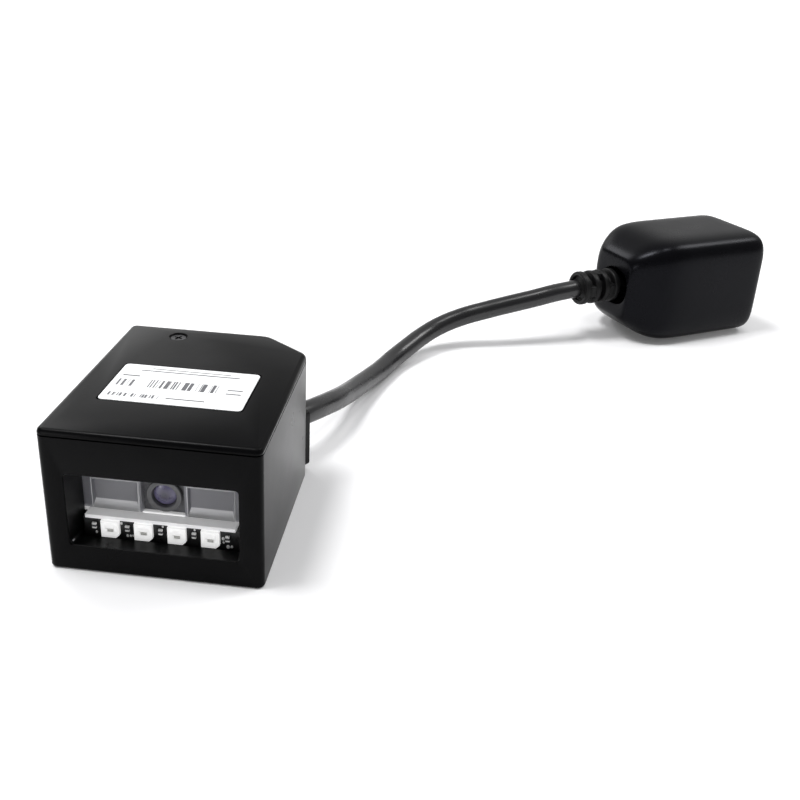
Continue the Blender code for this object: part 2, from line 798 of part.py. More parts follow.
def sunk_screw(name, top, up, length, head_radius, finish):
    """Countersunk screw with a cross recess, its head flush with a face."""
    shank = SCREW_SHANK / 2
    cone = head_radius - shank
    edge = SCREW_HEAD_EDGE
    profile = [
        (0, 0), (0, head_radius), (-edge, head_radius),
        (-cone - edge, shank), (-length, shank), (-length, 0),
    ]
    screw = piece(name, turned(profile, top, up), finish)
    along = Vector(up).normalized()
    first = along.orthogonal().normalized()
    outline = cross_outline(head_radius * CROSS_LENGTH_SHARE, head_radius * CROSS_WIDTH_SHARE)
    recess = placed(outline, top, first, along.cross(first))
    deep = [point - along * head_radius * CROSS_DEPTH_SHARE for point in recess]
    high = [point + along * CUT_BEYOND for point in recess]
    cut(screw, loft([deep, high]))
    return screw


def lid_screw():
    top = lid_screw_place() + UP * (HOUSING_HEIGHT - GAP)
    finish = blackened_steel("lid screw steel")
    return sunk_screw("lid_screw", top, UP, LID_SCREW_LENGTH, LID_SCREW_HEAD / 2, finish)


def frame_screw(name, place):
    """Screw from the underside that holds the engine frame."""
    length = frame_screw_top() - GAP
    return sunk_screw(name, place + UP * GAP, -UP, length, SCREW_SHANK, steel(name + " steel"))


def frame_screw_top():
    """Height that the tip of a frame screw reaches."""
    return FRAME_BOTTOM + FRAME_SCREW_GRIP


def mounting_insert(name, place):
    """Knurled brass insert, flush with the underside."""
    outer = []
    for step in range(2 * INSERT_KNURLS):
        angle = math.tau * step / (2 * INSERT_KNURLS)
        radius = INSERT_DIAMETER / 2 - (KNURL_DEPTH if step % 2 else 0.0)
        outer.append((place.x + radius * math.cos(angle), place.y + radius * math.sin(angle)))
    insert = piece(name, prism(outer, GAP, GAP + INSERT_LENGTH), brass(name + " brass"))
    cut(insert, rod(INSERT_BORE / 2, place, place + UP * (INSERT_LENGTH - GAP)))
    return insert


# Window pieces and engine

def engine_cover():
    """Clear moulding with a dished cell on each side, a notch for the lens and a lip over the lamps."""
    width = WINDOW_WIDTH + COVER_OVERLAP
    top = WINDOW_SILL + WINDOW_HEIGHT + COVER_OVERLAP / 2
    bottom = LIP_BOTTOM
    slab = facing_slab(width, top - bottom, WINDOW_ROUND, COVER_FRONT, COVER_REAR, rise=(top + bottom) / 2)
    cover = piece("engine_cover", slab, clear_plastic("cover plastic"))
    lip_half = LIP_WIDTH / 2
    lip_front = LED_FRONT + GAP
    join(cover, box((-lip_half, lip_front, bottom), (lip_half, COVER_REAR - GAP, bottom + COVER_LIP)))
    cell_bottom = CELL_RISE - CELL_HEIGHT / 2
    notch_top = top - COVER_OVERLAP
    cut(cover, facing_slab(
        NOTCH_WIDTH, notch_top - cell_bottom, WINDOW_ROUND,
        COVER_FRONT - COVER_LIP, COVER_REAR + GAP, rise=(notch_top + cell_bottom) / 2,
    ))
    for side in (-1, 1):
        cut(cover, facing_slab(
            CELL_WIDTH, CELL_HEIGHT, WINDOW_ROUND / 2, COVER_FRONT - COVER_LIP, COVER_FRONT + CELL_DISH,
            across=side * CELL_CENTRE, rise=CELL_RISE,
        ))
    return cover


def lens_axis(y):
    return Vector((0, y, LENS_RISE))


def engine_frame():
    """Block behind the cover that holds the lens barrel, with a light well behind each cell."""
    middle = (FRAME_TOP + FRAME_BOTTOM) / 2
    height = FRAME_TOP - FRAME_BOTTOM
    slab = facing_slab(FRAME_WIDTH, height, WINDOW_ROUND, FRAME_FRONT, FRAME_REAR, rise=middle)
    frame = piece("engine_frame", slab, material("engine frame plastic", (0.050, 0.050, 0.055), 0.5))
    rib_front = LAMP_BOARD_REAR + GAP
    rib_half = LAMP_BOARD_WIDTH / 2 - WALL
    rib_low = (-rib_half, rib_front, FRAME_BOTTOM + GAP)
    join(frame, box(rib_low, (rib_half, FRAME_FRONT + WALL, LIP_BOTTOM - GAP)))
    for side in (-1, 1):
        cut(frame, facing_slab(
            CELL_WIDTH - 2 * WELL_WALL, CELL_HEIGHT - 2 * WELL_WALL, WINDOW_ROUND / 2,
            FRAME_FRONT - GAP, FRAME_REAR + GAP, across=side * CELL_CENTRE, rise=CELL_RISE,
        ))
    cut(frame, rod(BARREL_BODY / 2 + GAP, lens_axis(FRAME_FRONT - GAP), lens_axis(FRAME_REAR + GAP)))
    pocket_front = SENSOR_BOARD_FRONT - GAP - SENSOR_THICKNESS - 3 * GAP
    cut(frame, box_at(
        (0, (pocket_front + FRAME_REAR + GAP) / 2, LENS_RISE),
        (SENSOR_WIDTH + 4 * GAP, FRAME_REAR + GAP - pocket_front, SENSOR_HEIGHT + 4 * GAP),
    ))
    for place in frame_screw_places():
        low = place + UP * (FRAME_BOTTOM - GAP)
        high = place + UP * (frame_screw_top() + GAP)
        cut(frame, rod(SCREW_SHANK / 2 + GAP, low, high, steps=SMALL_TURN_STEPS))
    for place in engine_screw_places():
        start = Vector((place.x, FRAME_REAR + GAP, place.z))
        deep = ENGINE_SCREW_LENGTH - BOARD_THICKNESS + GAP
        cut(frame, rod(ENGINE_SCREW_SHANK / 2 + GAP, start, start - BACK * deep, steps=SMALL_TURN_STEPS))
    return frame


def lens_barrel():
    """Turned barrel with a wide front flange and a coned mouth."""
    front = FRAME_FRONT - GAP - BARREL_FLANGE_DEPTH
    flange = BARREL_FLANGE / 2
    body = BARREL_BODY / 2
    bore = BARREL_BORE / 2
    rear = BARREL_LENGTH
    seat = rear - BARREL_SEAT_DEPTH
    outline = [
        (0.0, bore + BARREL_MOUTH_FLARE), (0.0, flange - BARREL_EDGE), (BARREL_EDGE, flange),
        (BARREL_FLANGE_DEPTH, flange), (BARREL_FLANGE_DEPTH, body), (rear, body),
        (rear, bore - BARREL_SEAT), (seat, bore - BARREL_SEAT), (seat, bore), (BARREL_MOUTH_DEPTH, bore),
    ]
    ring = turned(outline + outline[:1], lens_axis(front), BACK)
    return piece("lens_barrel", ring, material("barrel metal", (0.040, 0.040, 0.045), 0.35, metallic=0.6))


def camera_lens():
    """Front element of the camera, domed on both faces."""
    front = FRAME_FRONT - GAP - BARREL_FLANGE_DEPTH + LENS_SETBACK
    rim = BARREL_BORE / 2 - GAP
    shares = [index / LENS_STEPS for index in range(LENS_STEPS + 1)]
    dome = [(LENS_SAG * share ** 2, rim * share) for share in shares]
    back = [(LENS_THICKNESS - along, radius) for along, radius in reversed(dome)]
    glass = material("lens glass", (0.10, 0.06, 0.16), 0.04)
    return piece("camera_lens", turned(dome + back, lens_axis(front), BACK), glass)


def image_sensor():
    rear = SENSOR_BOARD_FRONT - GAP
    centre = (0, rear - SENSOR_THICKNESS / 2, LENS_RISE)
    package = box_at(centre, (SENSOR_WIDTH, SENSOR_THICKNESS, SENSOR_HEIGHT))
    sensor = piece("image_sensor", package, chip_plastic("sensor package"))
    window = (SENSOR_WIDTH - 2 * SENSOR_RIM, 2 * SENSOR_WINDOW_DEPTH, SENSOR_HEIGHT - 2 * SENSOR_RIM)
    cut(sensor, box_at((0, rear - SENSOR_THICKNESS, LENS_RISE), window))
    return sensor


def cell_led(name, side):
    """Small LED on the sensor board, behind one cell of the cover."""
    rear = SENSOR_BOARD_FRONT - GAP
    centre = (side * CELL_CENTRE, rear - CELL_LED_THICKNESS / 2, CELL_RISE)
    block = box_at(centre, (CELL_LED_WIDTH, CELL_LED_THICKNESS, CELL_LED_HEIGHT))
    return piece(name, bevelled(block, CELL_LED_EDGE, 1), white_plastic(name + " plastic"))


def sensor_board():
    middle = (FRAME_TOP + FRAME_BOTTOM) / 2
    height = FRAME_TOP - FRAME_BOTTOM - 2 * GAP
    ends = (SENSOR_BOARD_FRONT, SENSOR_BOARD_REAR)
    slab = facing_slab(SENSOR_BOARD_WIDTH, height, WINDOW_ROUND, *ends, rise=middle)
    board = piece("sensor_board", slab, green_laminate("sensor board laminate"))
    for place in engine_screw_places():
        ends = (place - BACK * WALL, place + BACK * WALL)
        cut(board, rod(ENGINE_SCREW_SHANK / 2 + GAP, *ends, steps=SMALL_TURN_STEPS))
    return board


def pan_screw(place, direction, shank, head, head_height, length):
    """Pan-head screw: place is under its head, direction points out of the head."""
    profile = [
        (head_height, 0), (head_height, head * 0.6), (head_height * 0.6, head * 0.95), (0, head),
        (0, shank), (-length, shank), (-length, 0),
    ]
    return turned(profile, place, direction, SMALL_TURN_STEPS)


def engine_screw(name, place):
    """Screw from behind that holds the sensor board to the engine frame."""
    radii = (ENGINE_SCREW_SHANK / 2, ENGINE_SCREW_SHANK)
    screw = pan_screw(place + BACK * GAP, BACK, *radii, ENGINE_SCREW_HEAD_HEIGHT, ENGINE_SCREW_LENGTH)
    return piece(name, screw, steel(name + " steel"))


# Lamp board

def led_places():
    """Middle of each LED's face, from left to right."""
    first = -LED_PITCH * (LED_COUNT - 1) / 2
    rise = LED_TOP - LED_SIZE / 2
    return [Vector((first + LED_PITCH * index, LED_FRONT, rise)) for index in range(LED_COUNT)]


def lamp_board():
    """Upright board on the floor, held between the window's sill and the engine frame."""
    bottom = FLOOR + GAP
    slab = box(
        (-LAMP_BOARD_WIDTH / 2, LAMP_BOARD_FRONT, bottom),
        (LAMP_BOARD_WIDTH / 2, LAMP_BOARD_REAR, LED_TOP),
    )
    return piece("lamp_board", slab, black_laminate("lamp board laminate"))


def lamp_led(index, place):
    """Square LED with a round dished emitter."""
    block = box_at(place + BACK * LED_THICKNESS / 2, (LED_SIZE, LED_THICKNESS, LED_SIZE))
    bevelled(block, LED_EDGE, 2, lambda edge: all(vert.co.y < place.y + LED_EDGE for vert in edge.verts))
    led = piece("lamp_led_%d" % index, block, white_plastic("LED %d plastic" % index))
    cut(led, rod(LED_DISH / 2, place - BACK * GAP, place + BACK * LED_DISH_DEPTH))
    return led


def resistor_places():
    """Middle of each resistor, beside and between the LEDs."""
    y = LED_REAR - RESISTOR_HEIGHT / 2
    rise = LED_TOP - LED_SIZE / 2 + RESISTOR_LIFT
    return [Vector((LED_PITCH * (index - LED_COUNT / 2), y, rise)) for index in range(LED_COUNT + 1)]


def lamp_resistor(name, place):
    block = box_at(place, (RESISTOR_WIDTH, RESISTOR_HEIGHT, RESISTOR_LENGTH))
    return piece(name, block, material(name + " ceramic", (0.45, 0.45, 0.45), 0.5))


def lamp_lead(name, side, colour):
    """Short wire from the lamp board to the underside of the main board."""
    start_y = LAMP_BOARD_REAR + GAP
    end_y = MAIN_BOARD_FRONT + SOCKET_LENGTH / 2
    low = FLOOR + LAMP_LEAD_LIFT
    high = MAIN_BOARD_RISE - GAP
    x = side * LAMP_LEAD_PITCH / 2
    bend = high - low - LAMP_LEAD_DIAMETER / 4
    line = filleted([(x, start_y, low), (x, end_y, low), (x, end_y, high)], [bend])
    return piece(name, tube(line, LAMP_LEAD_DIAMETER / 2), material(name + " sleeve", colour, 0.5))


def tube(line, radius):
    """A round wire along a line of points, none of whose runs is parallel to the tilted helper."""
    tilted = Vector((0.31, 0.17, 0.93))
    circle = [math.tau * step / WIRE_SIDES for step in range(WIRE_SIDES)]
    rings = []
    for index, point in enumerate(line):
        before = line[max(index - 1, 0)]
        after = line[min(index + 1, len(line) - 1)]
        forward = (after - before).normalized()
        across = forward.cross(tilted).normalized()
        up = across.cross(forward)
        rings.append([point + (across * math.cos(a) + up * math.sin(a)) * radius for a in circle])
    return loft(rings)


# Flat flex and its sockets

def flex_line():
    """Middle line of the flex, from the sensor board's socket down and back to the main board's."""
    y = SENSOR_BOARD_REAR + GAP + SOCKET_HEIGHT / 2
    z = PART_SEAT + SOCKET_HEIGHT / 2
    start = (0, y, sensor_socket_bottom() - GAP)
    end = (0, board_socket_front() - GAP, z)
    return filleted([start, (0, y, z), end], [FLEX_BEND])


def sensor_socket_bottom():
    return PART_SEAT + SOCKET_HEIGHT / 2 + FLEX_BEND + FLEX_STRAIGHT + GAP


def board_socket_front():
    return SENSOR_BOARD_REAR + GAP + SOCKET_HEIGHT / 2 + FLEX_BEND + FLEX_STRAIGHT + GAP


def flat_flex():
    line = flex_line()
    rings = []
    for index, point in enumerate(line):
        before = line[max(index - 1, 0)]
        after = line[min(index + 1, len(line) - 1)]
        out = RIGHT.cross((after - before).normalized())
        half = RIGHT * FLEX_WIDTH / 2
        thick = out * FLEX_THICKNESS / 2
        edges = ((-1, -1), (1, -1), (1, 1), (-1, 1))
        rings.append([point + half * across + thick * up for across, up in edges])
    return piece("flat_flex", loft(rings), material("flex film", (0.60, 0.45, 0.20), 0.4))


def sensor_socket():
    bottom = sensor_socket_bottom()
    low = (-SOCKET_WIDTH / 2, SENSOR_BOARD_REAR + GAP, bottom)
    high = (SOCKET_WIDTH / 2, SENSOR_BOARD_REAR + GAP + SOCKET_HEIGHT, bottom + SOCKET_LENGTH)
    block = bevelled(box(low, high), MOULDED_EDGE, 1)
    return piece("sensor_socket", block, white_plastic("sensor socket plastic"))


def board_socket():
    front = board_socket_front()
    low = (-SOCKET_WIDTH / 2, front, PART_SEAT)
    high = (SOCKET_WIDTH / 2, front + SOCKET_LENGTH, PART_SEAT + SOCKET_HEIGHT)
    block = bevelled(box(low, high), MOULDED_EDGE, 1)
    return piece("board_socket", block, white_plastic("board socket plastic"))


# Main board

def main_board():
    """Decoder board on three standoffs, its corner cut to clear the grommet."""
    half = MAIN_BOARD_WIDTH / 2
    cut_line = inset(housing_outline(), MAIN_BOARD_CORNER_GAP)
    start = Vector(cut_line[2])
    slope = CHAMFER_BACK / CHAMFER_ACROSS
    side_y = start.y - (half - start.x) * slope
    back_x = start.x - (MAIN_BOARD_BACK - start.y) / slope
    outline = [
        (-half, MAIN_BOARD_FRONT), (half, MAIN_BOARD_FRONT), (half, side_y),
        (back_x, MAIN_BOARD_BACK), (-half, MAIN_BOARD_BACK),
    ]
    slab = prism(outline, MAIN_BOARD_RISE, MAIN_BOARD_TOP)
    board = piece("main_board", slab, green_laminate("main board laminate"))
    for place in standoff_places():
        high = place + UP * (MAIN_BOARD_TOP + CUT_BEYOND)
        cut(board, rod(BOARD_SCREW_SHANK / 2 + GAP, place, high, steps=SMALL_TURN_STEPS))
    return board


def main_board_screw(name, place):
    under_head = place + UP * (MAIN_BOARD_TOP + GAP)
    radii = (BOARD_SCREW_SHANK / 2, BOARD_SCREW_HEAD / 2)
    screw = pan_screw(under_head, UP, *radii, BOARD_SCREW_HEAD_HEIGHT, BOARD_SCREW_LENGTH)
    return piece(name, screw, steel(name + " steel"))


def chip(name, across, y, size, finish):
    """A flat package on the main board."""
    height = size[2]
    block = box_at((across, y, PART_SEAT + height / 2), size)
    return piece(name, bevelled(block, height * PACKAGE_EDGE_SHARE, 1), finish)


def processor():
    """Square package right behind the flex socket."""
    y = board_socket_front() + SOCKET_LENGTH + PROCESSOR_SPACE + PROCESSOR_SIZE[1] / 2
    return chip("processor", PROCESSOR_ACROSS, y, PROCESSOR_SIZE, chip_plastic("processor package"))


def memory_chip():
    y = MAIN_BOARD_FRONT + MEMORY_FROM_FRONT
    return chip("memory_chip", MEMORY_ACROSS, y, MEMORY_SIZE, chip_plastic("memory package"))


def oscillator():
    y = MAIN_BOARD_BACK - OSCILLATOR_FROM_REAR
    return chip("oscillator", OSCILLATOR_ACROSS, y, OSCILLATOR_SIZE, steel("oscillator can"))


def interface_chip():
    """Small-outline driver with a row of feet on each side."""
    width, depth, height = INTERFACE_SIZE
    centre = Vector((INTERFACE_ACROSS, MAIN_BOARD_FRONT + INTERFACE_FROM_FRONT, PART_SEAT))
    lead = INTERFACE_LEAD_WIDTH
    body = box_at(centre + UP * (height / 2 + lead / 4), (width, depth, height - lead / 2))
    made = piece("interface_chip", bevelled(body, MOULDED_EDGE, 1), chip_plastic("interface chip package"))
    reach = INTERFACE_LEAD_REACH + lead
    feet = []
    for side in (-1, 1):
        across = side * (width / 2 - lead + reach / 2)
        for index in range(INTERFACE_LEADS):
            along = INTERFACE_LEAD_PITCH * (index - (INTERFACE_LEADS - 1) / 2)
            foot = centre + RIGHT * across + BACK * along + UP * lead / 2
            feet.append(box_at(foot, (reach, lead, lead)))
    join(made, merged(feet))
    return made


def beeper():
    """Round beeper with a sound hole in its top, halfway between the two left screws."""
    _, y, _ = (standoff_places()[0] + standoff_places()[2]) / 2
    place = Vector((BEEPER_FROM_SIDE - MAIN_BOARD_WIDTH / 2, y, PART_SEAT))
    top = BEEPER_HEIGHT
    hole = BEEPER_HOLE / 2
    hole_bottom = top - BEEPER_HOLE_DEPTH
    radius = BEEPER_RADIUS
    profile = [
        (0, 0), (0, radius), (top - BEEPER_EDGE, radius), (top, radius - BEEPER_EDGE), (top, hole),
        (hole_bottom, hole), (hole_bottom, 0),
    ]
    return piece("beeper", turned(profile, place, UP), chip_plastic("beeper plastic"))


def cable_header():
    """Open-topped header that the cable's plug sits in."""
    place = header_place()
    block = box_at(place + UP * HEADER_HEIGHT / 2, (HEADER_WIDTH, HEADER_DEPTH, HEADER_HEIGHT))
    header = piece("cable_header", block, white_plastic("header plastic"))
    inner = (HEADER_WIDTH - 2 * HEADER_WALL, HEADER_DEPTH - 2 * HEADER_WALL, HEADER_HEIGHT)
    cut(header, box_at(place + UP * (HEADER_HEIGHT / 2 + HEADER_WALL), inner))
    return header


def header_plug_top():
    return header_place().z + HEADER_HEIGHT + PLUG_RISE


def header_plug():
    place = header_place()
    low = place.z + HEADER_WALL + GAP
    high = header_plug_top()
    width = HEADER_WIDTH - 2 * HEADER_WALL - 2 * GAP
    depth = HEADER_DEPTH - 2 * HEADER_WALL - 2 * GAP
    block = box_at((place.x, place.y, (low + high) / 2), (width, depth, high - low))
    return piece("header_plug", bevelled(block, MOULDED_EDGE, 1), white_plastic("plug plastic"))


def lead_wire(index, colour):
    """One core of the cable, from the header plug up and over to the grommet's inner end."""
    shift = LEAD_PITCH * (index - (LEAD_COUNT - 1) / 2)
    start = Vector((header_place().x + shift, header_place().y, header_plug_top() + GAP))
    end = chamfer_point(grommet_inner_face() - GAP, shift, CABLE_EXIT_RISE)
    rise = start + UP * LEAD_LOOP
    reach = end - CHAMFER_OUT * LEAD_LOOP / 2
    line = []
    for step in range(LEAD_STEPS + 1):
        t = step / LEAD_STEPS
        s = 1 - t
        line.append(start * s**3 + rise * (3 * s * s * t) + reach * (3 * s * t * t) + end * t**3)
    name = "lead_wire_%d" % (index + 1)
    return piece(name, tube(line, LEAD_DIAMETER / 2), material(name + " sleeve", colour, 0.5))


# Grommet, cable, boot

def grommet_inner_face():
    """Distance of the grommet's inner end from the corner's face, negative inwards."""
    return -WALL - GAP - GROMMET_INNER_THICKNESS


def cable_grommet():
    """Rubber entry: flange outside, neck through the wall, smaller flange inside."""
    flange = grommet_layer(GROMMET_FLANGE_WIDTH, 0, GAP, GAP + GROMMET_FLANGE_THICKNESS)
    grommet = piece("cable_grommet", flange, material("grommet rubber", (0.014, 0.014, 0.015), 0.55))
    inner = grommet_inner_face()
    neck = grommet_layer(GROMMET_NECK_WIDTH, GROMMET_NECK_MARGIN, inner + GAP, 2 * GAP)
    margin = GROMMET_NECK_MARGIN - 2 * GAP
    inside = grommet_layer(GROMMET_NECK_WIDTH + 4 * GAP, margin, inner, -WALL - GAP)
    join(grommet, neck, inside)
    return grommet


def smooth_route(points, leave, arrive, step):
    """Points along a smooth curve through the route, short steps at its two ends."""
    route = [Vector(point) for point in points]
    fine = [route[0]]
    spans = list(zip(route, route[1:]))
    for index, (here, there) in enumerate(spans):
        length = (there - here).length
        slope_here = leave * length if index == 0 else (there - route[index - 1]) / 2
        slope_there = arrive * length if index == len(spans) - 1 else (route[index + 2] - here) / 2
        for part in range(1, 9):
            t = part / 8
            fine.append(
                here * (2 * t**3 - 3 * t**2 + 1) + slope_here * (t**3 - 2 * t**2 + t)
                + there * (3 * t**2 - 2 * t**3) + slope_there * (t**3 - t**2)
            )
    reached = [0.0]
    for here, there in zip(fine, fine[1:]):
        reached.append(reached[-1] + (there - here).length)
    total = reached[-1]
    count = max(round(total / step), 2)
    wanted = [total * index / count for index in range(1, count)]
    short = step / 5
    chosen = []
    for distance in [0.0, short, *wanted, total - short, total]:
        index = max(i for i, value in enumerate(reached) if value <= distance + MERGE_DISTANCE)
        index = min(index, len(fine) - 2)
        share = (distance - reached[index]) / (reached[index + 1] - reached[index])
        chosen.append(fine[index].lerp(fine[index + 1], share))
    return chosen


def cable():
    """The free cable as a plain tube."""
    curve = bpy.data.curves.new("cable", "CURVE")
    curve.dimensions = "3D"
    curve.fill_mode = "FULL"
    curve.bevel_depth = CABLE_DIAMETER / 2
    curve.bevel_resolution = 3
    curve.use_fill_caps = True
    points = smooth_route(CABLE_ROUTE, CHAMFER_OUT, HOOD_AXIS, CABLE_STEP)
    spline = curve.splines.new("POLY")
    spline.points.add(len(points) - 1)
    for item, point in zip(spline.points, points):
        item.co = (*point, 1)
    made = bpy.data.objects.new("cable", curve)
    bpy.context.scene.collection.objects.link(made)
    curve.materials.append(material("cable jacket", (0.020, 0.020, 0.021), 0.45))
    return made


def connector_boot():
    """Ribbed strain relief with a stem that sits in the hood."""
    base = BOOT_LENGTH - GAP
    pitch = base / BOOT_RINGS
    shoulder = BOOT_RADIUS - BOOT_EDGE
    profile = [(0, 0)]
    for ring in range(BOOT_RINGS):
        start = ring * pitch
        end = start + pitch - BOOT_GROOVE
        profile += [
            (start, shoulder), (start + BOOT_EDGE, BOOT_RADIUS),
            (end - BOOT_EDGE, BOOT_RADIUS), (end, shoulder),
            (end, BOOT_GROOVE_RADIUS), (start + pitch, BOOT_GROOVE_RADIUS),
        ]
    tip = BOOT_LENGTH + BOOT_STEM_LENGTH
    profile += [(base, BOOT_STEM_RADIUS), (tip, BOOT_STEM_RADIUS), (tip, 0)]
    solid = turned(profile, hood_point(-BOOT_LENGTH, 0, BOOT_RISE), HOOD_AXIS)
    return piece("connector_boot", solid, material("boot rubber", (0.016, 0.016, 0.017), 0.5))


# Connector block

def hood_ring(along, side_inset):
    """Section of the hood: the taper draws the sides, the top and the bottom in together."""
    share = side_inset / TAPER_SIDE
    width = HOOD_WIDTH - 2 * side_inset
    top = HOOD_HEIGHT - TAPER_TOP * share
    bottom = TAPER_BOTTOM * share
    radius = min(HOOD_ROUND, width * 0.4, (top - bottom) * 0.4)
    outline = rounded_rectangle(width, top - bottom, radius)
    return placed(outline, hood_point(along, 0, (top + bottom) / 2), HOOD_ACROSS, UP)


def jack_rise():
    return HOOD_HEIGHT / 2


def jack_slab(width, height, start, end, shift=0.0):
    """A box in the hood's own directions, about the jack's axis."""
    outline = rounded_rectangle(width, height, JACK_ROUND)
    ends = [hood_point(along, 0, jack_rise() + shift) for along in (start, end)]
    return loft([placed(outline, point, HOOD_ACROSS, UP) for point in ends])


def connector_hood():
    """Block with a tapered end and large soft edges, lofted from rounded sections."""
    deep = TAPER_SIDE + END_ROUND
    line = filleted(
        [(0, deep), (0, TAPER_SIDE), (HOOD_TAPER, 0), (HOOD_LENGTH, 0), (HOOD_LENGTH, END_ROUND * 1.4)],
        [END_ROUND * 0.9, TAPER_ROUND, END_ROUND],
    )
    solid = loft([hood_ring(point.x, point.y) for point in line])
    bmesh.ops.triangulate(solid, faces=solid.faces)
    hood = piece("connector_hood", solid, material("hood plastic", (0.013, 0.013, 0.014), 0.42))
    pocket = HOOD_LENGTH - JACK_LENGTH - 2 * GAP
    cut(hood, jack_slab(JACK_WIDTH + 2 * GAP, JACK_HEIGHT + 2 * GAP, pocket, HOOD_LENGTH + WALL))
    stem = BOOT_STEM_RADIUS + GAP
    cut(hood, rod(stem, hood_point(-WALL, 0, BOOT_RISE), hood_point(BOOT_STEM_LENGTH + GAP, 0, BOOT_RISE)))
    return hood


def jack_body():
    """Modular jack: a socket with a latch channel below it."""
    start = HOOD_LENGTH - JACK_LENGTH - GAP
    end = HOOD_LENGTH - GAP
    plastic = material("jack plastic", (0.03, 0.03, 0.03), 0.45)
    jack = piece("jack_body", jack_slab(JACK_WIDTH, JACK_HEIGHT, start, end), plastic)
    inner = end - JACK_SOCKET_DEPTH
    cut(jack, jack_slab(JACK_SOCKET_WIDTH, JACK_SOCKET_HEIGHT, inner, end + GAP))
    latch_shift = -(JACK_SOCKET_HEIGHT + JACK_LATCH_HEIGHT) / 2 + GAP
    cut(jack, jack_slab(JACK_LATCH_WIDTH, JACK_LATCH_HEIGHT + 2 * GAP, inner, end + GAP, latch_shift))
    return jack


def jack_contacts():
    """Eight sprung contacts that slope down from a carrier under the socket's roof."""
    roof = jack_rise() + JACK_SOCKET_HEIGHT / 2 - GAP
    half = CONTACT_WIDTH / 2
    start = HOOD_LENGTH - GAP - CONTACT_SETBACK
    pitches = [CONTACT_PITCH * (index - (CONTACT_COUNT - 1) / 2) for index in range(CONTACT_COUNT)]
    bar_half = pitches[-1] + CONTACT_PITCH / 2
    bar = [(-bar_half, -CONTACT_WIDTH), (bar_half, -CONTACT_WIDTH), (bar_half, 0), (-bar_half, 0)]
    ends = [hood_point(start - reach, 0, roof) for reach in (0, CARRIER_LENGTH)]
    carrier = loft([placed(bar, end, HOOD_ACROSS, UP) for end in ends])
    made = piece("jack_contacts", carrier, material("contact gold", (0.85, 0.62, 0.28), 0.25, metallic=1.0))
    square = [(-half, -half), (half, -half), (half, half), (-half, half)]
    for across in pitches:
        front = hood_point(start - CARRIER_LENGTH / 2, across, roof - CONTACT_WIDTH)
        rear = hood_point(start - CONTACT_LENGTH, across, roof - CONTACT_WIDTH - CONTACT_DROP)
        join(made, loft([placed(square, end, HOOD_ACROSS, UP) for end in (front, rear)]))
    return made


# Assembly

def clear_scene():
    for item in list(bpy.data.objects):
        bpy.data.objects.remove(item)


def build():
    """Make every piece of the reader."""
    clear_scene()
    housing_body()
    housing_lid()
    lid_label()
    lid_screw()
    for side, place in zip(("left", "right"), frame_screw_places()):
        frame_screw("frame_screw_" + side, place)
    for side, place in zip(("left", "right"), insert_places()):
        mounting_insert("mounting_insert_" + side, place)
    engine_cover()
    engine_frame()
    lens_barrel()
    camera_lens()
    image_sensor()
    cell_led("cell_led_left", -1)
    cell_led("cell_led_right", 1)
    sensor_board()
    for side, place in zip(("left", "right"), engine_screw_places()):
        engine_screw("engine_screw_" + side, place)
    lamp_board()
    for index, place in enumerate(led_places(), start=1):
        lamp_led(index, place)
    for index, place in enumerate(resistor_places(), start=1):
        lamp_resistor("lamp_resistor_%d" % index, place)
    lamp_lead("lamp_lead_left", -1, (0.35, 0.02, 0.02))
    lamp_lead("lamp_lead_right", 1, (0.02, 0.02, 0.02))
    sensor_socket()
    board_socket()
    flat_flex()
    main_board()
    for index, place in enumerate(standoff_places(), start=1):
        main_board_screw("main_board_screw_%d" % index, place)
    processor()
    memory_chip()
    oscillator()
    interface_chip()
    beeper()
    cable_header()
    header_plug()
    for index, colour in enumerate(LEAD_COLOURS):
        lead_wire(index, colour)
    cable_grommet()
    cable()
    connector_boot()
    connector_hood()
    jack_body()
    jack_contacts()


build()
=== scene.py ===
"""Looks of a fixed barcode reader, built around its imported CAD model."""

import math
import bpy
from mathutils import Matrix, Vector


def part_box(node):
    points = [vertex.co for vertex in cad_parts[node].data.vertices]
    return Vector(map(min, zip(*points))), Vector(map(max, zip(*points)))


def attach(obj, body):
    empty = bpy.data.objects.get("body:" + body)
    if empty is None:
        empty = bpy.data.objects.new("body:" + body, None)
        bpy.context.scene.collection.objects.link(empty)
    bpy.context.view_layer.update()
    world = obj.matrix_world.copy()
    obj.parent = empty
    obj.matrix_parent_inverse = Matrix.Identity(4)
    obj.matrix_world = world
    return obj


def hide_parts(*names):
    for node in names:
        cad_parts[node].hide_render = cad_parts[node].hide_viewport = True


bl_info = {
    "name": "Fixed barcode reader",
    "version": (1, 0, 0),
    "blender": (4, 5, 0),
    "location": "View3D > Sidebar > Reader",
    "description": "Dresses the packed model of a fixed barcode reader with its finishes, cable and studio",
    "category": "Object",
}

import bmesh
import bpy
from bpy.props import FloatProperty, FloatVectorProperty, IntProperty, PointerProperty
from mathutils import Matrix, Vector

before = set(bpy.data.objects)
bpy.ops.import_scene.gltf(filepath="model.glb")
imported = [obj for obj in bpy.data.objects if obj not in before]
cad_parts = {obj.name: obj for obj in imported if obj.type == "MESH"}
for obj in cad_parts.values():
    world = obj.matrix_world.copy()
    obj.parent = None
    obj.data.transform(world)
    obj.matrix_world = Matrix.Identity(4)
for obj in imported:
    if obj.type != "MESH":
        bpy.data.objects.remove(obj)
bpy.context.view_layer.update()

BODY = "root"
UP = Vector((0, 0, 1))
MERGE_DISTANCE = 0.000002
FLAT_ANGLE = math.radians(1.5)
SHARP_ANGLE = math.radians(32)
FACING_LEAST = 0.7
GLANCE = (0.58, 0.92)
GLANCE_ROUGHNESS = 0.45

